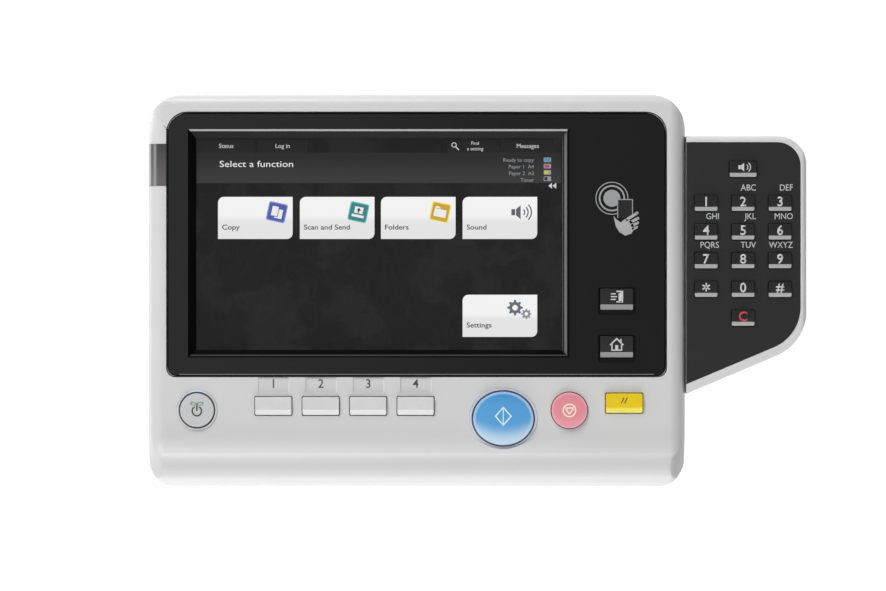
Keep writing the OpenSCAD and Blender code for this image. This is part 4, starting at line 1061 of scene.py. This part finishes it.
@dataclass
class KeypadWing:
    """The keypad beside the screen: its case, gloss faceplate and fourteen marked keys."""

    inks: Inks
    digit: float = 5.3 * MM
    letters: float = 3.5 * MM
    letter_groups: tuple[tuple[str, str], ...] = (
        ("key_2", "ABC"), ("key_3", "DEF"), ("key_4", "GHI"), ("key_5", "JKL"),
        ("key_6", "MNO"), ("key_7", "PQRS"), ("key_8", "TUV"), ("key_9", "WXYZ"))

    def case(self) -> None:
        """Builds the case's light front half and the faceplate."""
        case = Plastic("wing_case", shade(212, 213, 214), 0.42)
        Moulding("keypad_case", "panel", "housing_grey", 0.4 * MM).build(case.material())
        face = Plastic("wing_gloss", shade(36, 36, 37), 0.2, 0.5 * MM, 0.003 * MM, 0.08, 0.6)
        Moulding("keypad_faceplate", "panel", "gloss_black", 0.25 * MM, 3).build(face.material())

    def keys(self) -> None:
        """Builds the keys and prints what each one is for."""
        finish = KeyPlastic("pad_key_black", shade(30, 30, 31), shade(172, 173, 174), 0.34).material()
        marks = {f"key_{digit}": str(digit) for digit in range(10)} | {"key_hash": "#", "key_clear": "C"}
        for node in [*marks, "key_star", "key_sound"]:
            Key(node, "key_black", 0.25 * MM).build(finish)
        for node, mark in marks.items():
            key = Key(node, "key_black")
            ink = self.inks.red if mark == "C" else self.inks.white
            art = key.artwork().text(mark, 0.0, -self.digit / 2, self.digit, weight=0.014)
            key.mark(art, "figure", ink)

    def star(self) -> None:
        """Prints the star on its key."""
        key = Key("key_star", "key_black")
        art = key.artwork()
        for angle in (0, 60, 120):
            x, z = 2.3 * MM * math.sin(math.radians(angle)), 2.3 * MM * math.cos(math.radians(angle))
            art.stroke([(-x, -z), (x, z)], 0.75 * MM)
        key.mark(art, "figure", self.inks.white)

    def sound(self) -> None:
        """Prints the loudspeaker on the volume key."""
        key = Key("key_sound", "key_black")
        art = speaker_cone(key.artwork(), 5.2 * MM)
        for radius in (2.0 * MM, 3.4 * MM):
            art.ring(0.8 * MM, 0.0, radius, radius - 0.5 * MM, -48.0, 48.0)
        key.mark(art, "speaker", self.inks.white)

    def letter_rows(self) -> None:
        """Prints the letters over their keys, level with each key's right edge."""
        art = Artwork(-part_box("keypad_faceplate")[0].y)
        for node, letters in self.letter_groups:
            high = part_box(node)[1]
            art.at(high.x, high.z + 1.9 * MM)
            art.text(letters, 0.0, 0.0, self.letters, Align.RIGHT, 0.0, 0.9)
        art.finish("keypad_letters", "panel", "gloss_black", self.inks.white)

    def build(self) -> None:
        """Builds the whole wing."""
        self.case()
        self.keys()
        self.star()
        self.sound()
        self.letter_rows()


# ---------------------------------------------------------------- screen


@dataclass
class LitColours:
    """The colours of the display's lit patches."""

    level: float = 0.92

    def patch(self, name: str, red: int, green: int, blue: int) -> bpy.types.Material:
        """Makes one lit colour from its display values."""
        return Print(f"lit_{name}", shade(red, green, blue), self.level).material()


@dataclass
class Screen:
    """The touch screen's glass and the home page that it shows, measured from the picture's upper left."""

    left_margin: float = 5.2 * MM
    top_margin: float = 6.1 * MM
    right_margin: float = 5.2 * MM
    bottom_margin: float = 5.1 * MM
    card_size: Point = (40.4 * MM, 22.8 * MM)
    card_radius: float = 3.2 * MM
    layer: float = 0.03 * MM

    def __post_init__(self) -> None:
        """Finds where the picture is on the glass."""
        low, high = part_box("touch_glass")
        self.left, self.top = low.x + self.left_margin, high.z - self.top_margin
        self.right, self.bottom = high.x - self.right_margin, low.z + self.bottom_margin
        self.face = -low.y
        self.lit = LitColours()
        self.white = self.lit.patch("white", 243, 243, 243)
        self.pale = self.lit.patch("pale", 214, 215, 218)
        self.dim = self.lit.patch("dim", 150, 152, 156)
        self.ink = self.lit.patch("ink", 36, 36, 38)

    def art(self, level: int, across: float = 0.0, down: float = 0.0, turn: float = 0.0) -> Artwork:
        """Starts artwork on the picture.

        Args:
            level: how many layers stand under it.
            across, down: its origin from the picture's upper left, in millimetres.
            turn: how far it is turned clockwise, in degrees.
        Returns:
            The artwork.
        """
        art = Artwork(self.face + level * self.layer, self.layer)
        return art.at(self.left + across * MM, self.top - down * MM, turn)

    def show(self, art: Artwork, name: str, material: bpy.types.Material) -> None:
        """Fixes finished artwork to the panel."""
        art.finish(f"display_{name}", "panel", "screen_glass", material)

    def glass(self) -> None:
        """Dresses the glass: black round its edge, with a faint branching wallpaper in the picture."""
        graph = Graph("display_black")
        warp = graph.node("ShaderNodeTexNoise", {}, {"Vector": graph.place.outputs["Object"], "Scale": 22.0,
                                                     "Detail": 4.0, "Distortion": 1.6})
        field_of = graph.node("ShaderNodeTexVoronoi", {"feature": "DISTANCE_TO_EDGE"},
                              {"Vector": warp.outputs["Color"], "Scale": 6.0})
        vein = Signal(graph, field_of.outputs["Distance"]).span(0.09, 0.0)
        blot = graph.noise(30 * MM, 9.0).span(0.47, 0.56)
        lit = graph.blend(vein * 0.25 + blot * 0.6, shade(19, 19, 19), shade(36, 36, 36))
        grain = graph.noise(1.2 * MM, 1.0)
        Moulding("touch_glass", "panel", "screen_glass", 0.15 * MM).build(graph.surface(
            Base_Color=graph.blend(grain, grey(0.004), grey(0.006)), Roughness=grain * 0.05 + 0.14,
            Emission_Color=lit, Emission_Strength=0.8))

    def tabs(self) -> None:
        """Shows the four tabs along the top."""
        dark = self.lit.patch("tab", 12, 12, 12)
        row = self.art(0)
        for start, end in ((1.5, 31.0), (33.5, 60.1), (136.0, 162.4), (165.1, 194.0)):
            row.rectangle(start * MM, -7.8 * MM, end * MM, -0.4 * MM, (0.0, 0.0, 1.4 * MM, 1.4 * MM))
        self.show(row, "tabs", dark)
        words = self.art(1)
        words.text("Status", 16.2 * MM, -5.3 * MM, 2.4 * MM).text("Log in", 46.8 * MM, -5.3 * MM, 2.4 * MM)
        words.text("Find", 151.0 * MM, -3.6 * MM, 1.9 * MM).text("a setting", 151.0 * MM, -6.6 * MM, 1.9 * MM)
        words.text("Messages", 179.5 * MM, -5.3 * MM, 2.4 * MM)
        words.ring(139.6 * MM, -3.7 * MM, 1.4 * MM, 1.0 * MM)
        words.stroke([(140.6 * MM, -4.8 * MM), (142.2 * MM, -6.4 * MM)], 0.6 * MM)
        self.show(words, "tab_words", self.pale)

    def header(self) -> None:
        """Shows the heading band with its title, status lines and gauges."""
        width = self.right - self.left
        graph = Graph("lit_header")
        rise = graph.axis("Z").span(self.top - 24.3 * MM, self.top - 7.7 * MM)
        band = graph.blend(rise, shade(48, 48, 49), shade(24, 24, 24))
        head = graph.surface(Base_Color=grey(0.01), Roughness=0.3, Emission_Color=band,
                             Emission_Strength=self.lit.level)
        art = self.art(0)
        art.rectangle(0.3 * MM, -24.3 * MM, width - 0.3 * MM, -7.8 * MM)
        self.show(art, "header", head)
        title = self.art(1)
        title.text("Select a function", 12.7 * MM, -15.6 * MM, 3.5 * MM, Align.LEFT, 0.0, 1.26)
        self.show(title, "title", self.white)
        lines = self.art(1)
        for index, words in enumerate(("Ready to copy", "Paper 1  A4", "Paper 2  A3", "Toner")):
            lines.text(words, 182.8 * MM, (-12.8 - 3.6 * index) * MM, 2.1 * MM, Align.RIGHT)
        self.show(lines, "status_lines", self.dim)

    def gauges(self) -> None:
        """Shows the four toner gauges and the mark that turns the page."""
        outline = self.art(1)
        for index in range(4):
            top = -10.5 - 3.4 * index
            outline.rectangle(188.1 * MM, (top - 2.5) * MM, 192.1 * MM, top * MM, (0.4 * MM,) * 4)
        self.show(outline, "gauges", self.dim)
        tints = (("cyan", 60, 150, 190), ("magenta", 190, 70, 130), ("yellow", 214, 190, 60),
                 ("black", 30, 30, 34))
        for index, (name, *tint) in enumerate(tints):
            level = self.art(2)
            top = -10.5 - 3.4 * index
            level.rectangle(188.5 * MM, (top - 2.1) * MM, (191.7 - 0.5 * index) * MM, (top - 0.4) * MM)
            self.show(level, f"toner_{name}", self.lit.patch(name, *tint))
        arrows = self.art(1)
        for step in (0.0, 2.3):
            arrows.polygon([((190.6 + step) * MM, -25.8 * MM), ((192.6 + step) * MM, -27.4 * MM),
                            ((192.6 + step) * MM, -24.2 * MM)])
        self.show(arrows, "page_arrows", self.pale)

    def card(self, name: str, label: str, across: float, down: float) -> None:
        """Shows one white card with a softer lower half and its label.

        Args:
            name: the card's name in the list of pieces.
            label: the word on it.
            across, down: its upper left corner, in millimetres.
        """
        wide, high, round_by = *self.card_size, self.card_radius
        graph = Graph(f"lit_card_{name}")
        middle = self.top - down * MM - high / 2
        fall = graph.axis("Z").span(middle + 2 * MM, middle - 3 * MM)
        tone = graph.blend(fall, shade(244, 244, 244), shade(229, 229, 230))
        lit = graph.surface(Base_Color=grey(0.02), Roughness=0.3, Emission_Color=tone, Emission_Strength=0.95)
        art = self.art(1, across, down)
        art.rectangle(0.0, -high, wide, 0.0, (0.0, round_by, 0.0, round_by))
        self.show(art, f"card_{name}", lit)
        word = self.art(2, across, down)
        word.text(label, 2.2 * MM, -high + 5.1 * MM, 2.8 * MM, Align.LEFT, 0.014, 1.14)
        self.show(word, f"label_{name}", self.ink)

    def tile(self, name: str, across: float, down: float, tint: tuple[int, int, int]) -> None:
        """Shows a card's tilted square of colour with a ring of light tone round it."""
        edge = self.art(2, across, down, 12.0)
        edge.rectangle(-5.2 * MM, -5.2 * MM, 5.2 * MM, 5.2 * MM, (1.2 * MM,) * 4)
        paler = [min(255, c + 60) for c in tint]
        self.show(edge, f"tile_edge_{name}", self.lit.patch(f"{name}_edge", *paler))
        body = self.art(3, across, down, 12.0)
        body.rectangle(-4.6 * MM, -4.6 * MM, 4.6 * MM, 4.6 * MM, (0.9 * MM,) * 4)
        self.show(body, f"tile_{name}", self.lit.patch(name, *tint))

    def copy_card(self) -> None:
        """Shows the copying card."""
        self.card("copy", "Copy", 11.8, 31.8)
        self.tile("copy", 43.7, 40.1, (76, 92, 168))
        sheets = self.art(4, 43.7, 40.1, 12.0)
        sheets.rectangle(-2.9 * MM, -2.2 * MM, 0.5 * MM, 3.0 * MM)
        sheets.rectangle(0.9 * MM, -3.2 * MM, 3.1 * MM, 1.8 * MM)
        sheets.rectangle(-1.0 * MM, -3.2 * MM, 0.9 * MM, -2.6 * MM)
        self.show(sheets, "copy_sheets", self.white)

    def scan_card(self) -> None:
        """Shows the scanning card."""
        self.card("scan", "Scan and Send", 56.1, 31.8)
        self.tile("scan", 87.8, 40.1, (52, 132, 136))
        bed = self.art(4, 87.8, 40.1, 12.0)
        bed.rectangle(-3.3 * MM, -2.8 * MM, 3.3 * MM, -1.4 * MM)
        bed.rectangle(-2.3 * MM, -0.6 * MM, 2.3 * MM, 2.9 * MM)
        self.show(bed, "scan_bed", self.white)
        arrow = self.art(5, 87.8, 40.1, 12.0)
        arrow.polygon([(-1.3 * MM, 0.9 * MM), (1.3 * MM, 0.9 * MM), (0.0, 2.4 * MM)])
        arrow.rectangle(-0.4 * MM, -0.3 * MM, 0.4 * MM, 0.9 * MM)
        self.show(arrow, "scan_arrow", self.ink)

    def folder_card(self) -> None:
        """Shows the stored files card."""
        self.card("folder", "Folders", 100.0, 31.8)
        self.tile("folder", 132.1, 40.1, (206, 168, 46))
        folder = self.art(4, 132.1, 40.1, 12.0)
        folder.rectangle(-3.3 * MM, -2.6 * MM, 3.3 * MM, 1.6 * MM, (0.4 * MM,) * 4)
        folder.polygon(in_mm(((-3.3, 1.9), (-0.2, 1.9), (-0.8, 2.9), (-2.8, 2.9))))
        self.show(folder, "folder", self.white)

    def sound_card(self) -> None:
        """Shows the sound settings card."""
        self.card("sound", "Sound", 144.2, 31.8)
        art = speaker_cone(self.art(2, 174.8, 40.1), 8.4 * MM)
        for radius in (2.4, 4.2, 6.0):
            art.ring(1.0 * MM, 0.0, radius * MM, (radius - 0.7) * MM, -46.0, 46.0)
        self.show(art, "sound_mark", self.lit.patch("slate", 96, 98, 108))

    def gear(self, art: Artwork, x: float, z: float, radius: float, teeth: int) -> None:
        """Draws a gear wheel as a band with square teeth round it."""
        art.ring(x, z, radius * 0.8, radius * 0.38)
        for tooth in range(teeth):
            angle = 2 * math.pi * tooth / teeth
            reach = Vector((math.cos(angle), math.sin(angle)))
            side = Vector((-math.sin(angle), math.cos(angle)))
            points = [reach * (radius * out) + side * (radius * turn)
                      for out, turn in ((0.78, -0.2), (1.08, -0.13), (1.08, 0.13), (0.78, 0.2))]
            art.polygon([(x + point.x, z + point.y) for point in points])

    def tools_card(self) -> None:
        """Shows the settings card with its two gear wheels."""
        self.card("tools", "Settings", 144.2, 84.8)
        art = self.art(2, 174.2, 92.6)
        self.gear(art, -1.6 * MM, 0.8 * MM, 3.9 * MM, 8)
        self.show(art, "gear_large", self.lit.patch("steel", 104, 108, 120))
        small = self.art(2, 174.2, 92.6)
        self.gear(small, 4.5 * MM, -2.6 * MM, 2.6 * MM, 8)
        self.show(small, "gear_small", self.lit.patch("silver", 140, 144, 152))

    def build(self) -> None:
        """Builds the glass and everything it shows."""
        self.glass()
        self.tabs()
        self.header()
        self.gauges()
        self.copy_card()
        self.scan_card()
        self.folder_card()
        self.sound_card()
        self.tools_card()


# ---------------------------------------------------------------- housing and inner parts


@dataclass
class Housing:
    """The panel's light front cover, rear cover, gloss bezel and status lamp."""

    figure_height: float = 4.9 * MM
    figure_lift: float = 6.3 * MM
    tab_recess: float = 0.5 * MM
    tab_half: float = 8.2 * MM
    bezel_corners: tuple[float, float, float, float] = (4.9 * MM, 4.9 * MM, 11.4 * MM, 11.4 * MM)
    bezel_gap: float = 0.6 * MM
    bezel_flange: float = 1.5 * MM
    seal: float = 0.45 * MM
    overlap: float = 0.05 * MM
    flange: float = 1.0 * MM
    round_keys: dict[str, float] = field(default_factory=lambda: {
        "start_key": 0.6 * MM, "power_key": 0.6 * MM, "stop_key": 0.0})

    def __post_init__(self) -> None:
        """Finds the flat face that the keys stand in and the foot of the bezel."""
        self.face = 65.0 * MM
        self.bezel_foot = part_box("display_bezel")[0].z

    def covers(self) -> None:
        """Builds the front and rear covers."""
        front = Plastic("front_cover_grey", shade(213, 213, 213), 0.4, 0.5 * MM, 0.015 * MM, 0.008)
        rear = Plastic("rear_cover_grey", shade(196, 197, 198), 0.5, 0.7 * MM, 0.05 * MM, 0.02)
        cover = RoundedSide("front_cover", "panel", "housing_grey", 0.2 * MM, crease=math.radians(80))
        cover.build(front.material())
        finish = rear.material()
        Moulding("rear_cover", "panel", "rear_grey", 0.0).build(finish)
        Moulding("keypad_rear_cover", "panel", "rear_grey", 0.4 * MM).build(finish)

    def bezel(self) -> None:
        """Builds the gloss black frame round the screen, with painted shade and painted highlights in its
        colour.
        """
        low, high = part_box("display_bezel")
        graph = Graph("bezel_gloss")
        front = graph.facing("Y").span(-0.86, -0.97)
        # Painted shade: the face is lighter at the left and darker at the right.
        side = graph.axis("X").span(low.x, high.x)
        film = graph.noise(24 * MM, 3.0)
        swirl = graph.noise(0.5 * MM, 1.0)
        face = graph.blend(side, shade(47, 47, 48), shade(33, 33, 34))
        face = graph.blend(film * 0.3, face, shade(30, 30, 31))
        # The slopes round the window take painted shade and painted highlight lines.
        tone = graph.blend(front, self.painted_lip_highlights(graph), face)
        foot = low.z + self.bezel_flange
        # Painted shadow: a black band along the outer edge stands for the shade in the gap round the bezel.
        inside = (self.band(graph.axis("X"), low.x + 2.2 * MM, high.x - 2.2 * MM)
                  * self.band(graph.axis("Z"), low.z + 2.1 * MM, high.z - 2.2 * MM))
        tone = graph.blend(inside * 0.85 + 0.15, grey(0.001), tone)
        # Painted highlight: a pale line along the foot, where the lower edge would catch the light.
        line = self.band(graph.axis("Z"), foot + 0.7 * MM, foot + 1.1 * MM)
        middle = self.band(graph.axis("X"), low.x + 8 * MM, high.x - 8 * MM)
        tone = graph.blend(line * middle * 0.5, tone, shade(172, 172, 172))
        Moulding("display_bezel", "panel", "gloss_black", 0.25 * MM, 3).build(graph.surface(
            Base_Color=tone, Roughness=film * 0.06 + 0.2, Specular_IOR_Level=0.07,
            Normal=graph.bump(swirl, 0.002 * MM)))

    def band(self, place: Signal, start: float, end: float) -> Signal:
        """Is 1 between the two places and fades to 0 just outside them."""
        fade = 0.12 * MM
        return place.span(start - fade, start + fade) * place.span(end + fade, end - fade)

    def painted_lip_highlights(self, graph: Graph) -> bpy.types.NodeSocket:
        """Colours the slopes round the window with painted shade, and with painted highlight lines at the
        top, right and foot.

        Args:
            graph: the bezel's shader graph.
        Returns:
            The socket of the slopes' colour.
        """
        low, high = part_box("touch_glass")
        across, level = graph.axis("X"), graph.axis("Z")
        down = graph.facing("Z").span(-0.3, -0.6)
        left = graph.facing("X").span(-0.3, -0.6)
        up = graph.facing("Z").span(0.3, 0.6)
        inside = self.band(across, low.x + 1.4 * MM, high.x - 2.2 * MM)
        top = down * self.band(level, high.z - 2.5 * MM, high.z - 1.5 * MM) * inside
        right = left * self.band(across, high.x - 3.9 * MM, high.x - 2.4 * MM)
        second = left * self.band(across, high.x - 5.0 * MM, high.x - 4.5 * MM)
        foot = up * self.band(level, low.z + 1.9 * MM, low.z + 2.7 * MM)
        # Painted shade: the slopes are far darker than the face; then painted highlight lines at the foot,
        # the right and the top.
        tone = graph.blend(foot, grey(0.0015), shade(62, 62, 63))
        tone = graph.blend(second, tone, shade(80, 80, 81))
        tone = graph.blend(right, tone, shade(112, 112, 113))
        return graph.blend(top, tone, shade(182, 182, 182))

    def tab_figures(self) -> None:
        """Prints 1 to 4 on the tabs over the function keys, and paints a highlight line at each tab's right.
        """
        ink = Print("tab_ink", shade(74, 75, 77)).material()
        art = Artwork(self.face - self.tab_recess)
        edge = Artwork(self.face)
        for number in range(1, 5):
            low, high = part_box(f"function_key_{number}")
            middle = (low.x + high.x) / 2
            art.at(middle, high.z + self.figure_lift)
            art.text(str(number), 0.0, -self.figure_height / 2, self.figure_height, weight=0.004)
            # Painted highlight: a pale line where the right wall of each tab's recess would catch the light.
            edge.at(middle + self.tab_half, high.z)
            edge.rectangle(0.0, 1.4 * MM, 0.5 * MM, self.bezel_foot - high.z - 0.9 * MM)
        art.finish("tab_figures", "panel", "housing_grey", ink)
        light = Print("tab_edge_highlight", shade(238, 238, 238)).material()
        edge.finish("tab_edge_highlights", "panel", "housing_grey", light)

    def painted_gap_shadows(self) -> None:
        """Lays thin dark bands of painted shadow in the gaps round the bezel and round each key in the front
        cover.
        """
        # Painted shadow: these dark bands stand for the shade in the gaps round the bezel and the keys.
        seal = Plastic("seal_black", shade(9, 9, 10), 0.8, 0.4 * MM, 0.01 * MM, 0.1).material()
        low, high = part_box("display_bezel")
        art = Artwork(self.face)
        out = self.bezel_gap - self.bezel_flange
        art.frame(low.x - out, low.z - out, high.x + out, high.z + out, self.bezel_corners, self.bezel_gap)
        for node in (*(f"function_key_{number}" for number in range(1, 5)), "reset_key"):
            low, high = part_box(node)
            out = self.seal - self.flange
            art.frame(low.x - out, low.z - out, high.x + out, high.z + out, (0.9 * MM,) * 4,
                      self.seal - self.overlap)
        art.finish("gap_shadow_frames", "panel", "gasket_foam", seal)
        # Painted shadow rings round the round keys.
        for node, lift in self.round_keys.items():
            low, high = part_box(node)
            wide, tall = (high.x - low.x) / 2 - self.flange, (high.z - low.z) / 2 - self.flange
            ring = Artwork(self.face + lift)
            ring.ring((low.x + high.x) / 2, (low.z + high.z) / 2, wide + self.seal, wide + self.overlap,
                      squash=(tall + self.seal) / (wide + self.seal))
            ring.finish(f"{node}_seal", "panel", "gasket_foam", seal)

    def status_lamp(self) -> None:
        """Builds the smoked lens that wraps the panel's upper left corner, with a painted highlight streak
        down its front.
        """
        low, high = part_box("status_lamp_lens")
        graph = Graph("smoked_lens")
        rise = graph.axis("Z").span(low.z, high.z)
        # Painted highlight: a pale vertical streak on the lens's front.
        highlight_streak_at = low.x + 4.2 * MM
        front = graph.facing("Y").span(-0.5, -0.9)
        painted_highlight_streak = abs(graph.axis("X") - highlight_streak_at).span(1.3 * MM, 0.2 * MM) * front
        grain = graph.noise(0.6 * MM, 2.0)
        body = graph.blend(rise * 0.9 + grain * 0.1, shade(102, 99, 100), shade(70, 68, 69))
        tone = graph.blend(painted_highlight_streak * 0.5, body, shade(190, 188, 188))
        RoundedSide("status_lamp_lens", "panel", "smoked_lens", 0.1 * MM).build(graph.surface(
            Base_Color=tone, Roughness=grain * 0.05 + 0.14, Coat_Weight=0.6, Coat_Roughness=0.05,
            Normal=graph.bump(grain, 0.005 * MM)))

    def build(self) -> None:
        """Builds the whole housing."""
        self.covers()
        self.bezel()
        self.tab_figures()
        self.painted_gap_shadows()
        self.status_lamp()


@dataclass
class HiddenParts:
    """Everything that keeps its CAD shape and only needs its finish."""

    def finishes(self) -> dict[str, bpy.types.Material]:
        """Builds one finish for each group of parts."""
        return {
            "zinc": Metal("zinc_plate", grey(0.62), 0.34, (0.70, 0.66, 0.50), 0.35).material(),
            "bright": Metal("bright_steel", grey(0.70), 0.24, (0.55, 0.55, 0.56), 0.15).material(),
            "black_steel": Metal("black_oxide", grey(0.06), 0.42, (0.10, 0.09, 0.08), 0.4).material(),
            "tray": Metal("tray_steel", grey(0.52), 0.38, (0.60, 0.60, 0.56), 0.2,
                          (1.0, 1.0, 0.08)).material(),
            "friction": Plastic("friction_pad", shade(58, 44, 36), 0.8, 0.6 * MM, 0.05 * MM, 0.2).material(),
            "foam": Plastic("gasket_foam", shade(24, 24, 25), 0.95, 0.25 * MM, 0.08 * MM, 0.3).material(),
            "cell": Plastic("display_cell", shade(18, 20, 24), 0.1, 0.4 * MM, 0.002 * MM, 0.1,
                            0.6).material(),
            "guide": Plastic("light_guide", shade(226, 230, 226), 0.12, 1.2 * MM, 0.01 * MM, 0.05,
                             0.4).material(),
            "board": Circuit("green_board", shade(18, 78, 44), shade(196, 150, 84)).material(),
            "antenna": Circuit("antenna_film", shade(28, 58, 60), shade(188, 128, 74)).material(),
            "switch": Plastic("switch_plastic", shade(46, 46, 48), 0.5, 0.3 * MM, 0.02 * MM, 0.15).material(),
            "ribbon": Metal("ribbon_film", (0.50, 0.36, 0.16), 0.35, (0.62, 0.46, 0.20), 0.3).material(),
            "rubber": Plastic("inlet_rubber", shade(30, 30, 30), 0.75, 0.5 * MM, 0.04 * MM, 0.2).material(),
            "mat": Plastic("silicone_mat", shade(70, 72, 76), 0.65, 0.4 * MM, 0.03 * MM, 0.12).material(),
        }

    groups = {
        "zinc": ("mount_bracket", "hinge_leaves"),
        "bright": ("hinge_pins", "disc_springs", "hinge_nuts"),
        "black_steel": ("hinge_screws", "case_screws", "keypad_screws"),
        "tray": ("lcd_frame", "lcd_bracket", "keypad_bracket"),
        "friction": ("friction_washers",),
        "foam": ("window_gasket",),
        "cell": ("lcd_cell",),
        "guide": ("backlight_plate",),
        "board": ("main_board", "key_board", "lamp_board", "keypad_board"),
        "antenna": ("nfc_antenna",),
        "switch": ("key_switches", "speaker"),
        "ribbon": ("lcd_ribbon", "keypad_ribbon"),
        "rubber": ("cable_grommet",),
        "mat": ("keypad_mat",),
    }
    eased = {"mount_bracket": ("bracket", "zinc_steel"), "hinge_leaves": ("panel", "zinc_steel"),
             "keypad_bracket": ("panel", "tray_steel")}

    def build(self) -> None:
        """Dresses every part, easing the edges of the steel that shows."""
        finishes = self.finishes()
        for name, nodes in self.groups.items():
            for node in nodes:
                if node in self.eased:
                    body, slot = self.eased[node]
                    Moulding(node, body, slot, 0.3 * MM).build(finishes[name])
                    continue
                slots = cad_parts[node].data.materials
                slots.clear()
                slots.append(finishes[name])
                log.info("%s is dressed in %s", node, finishes[name].name)


def main() -> None:
    """Builds the studio and the panel."""
    Studio().build()
    inks = Inks()
    for section in (Housing(), Screen(), FunctionRow(inks), SideKeys(inks), KeypadWing(inks), HiddenParts()):
        section.build()
        log.info("%s is built", type(section).__name__)


if __name__ == "__main__":
    main()
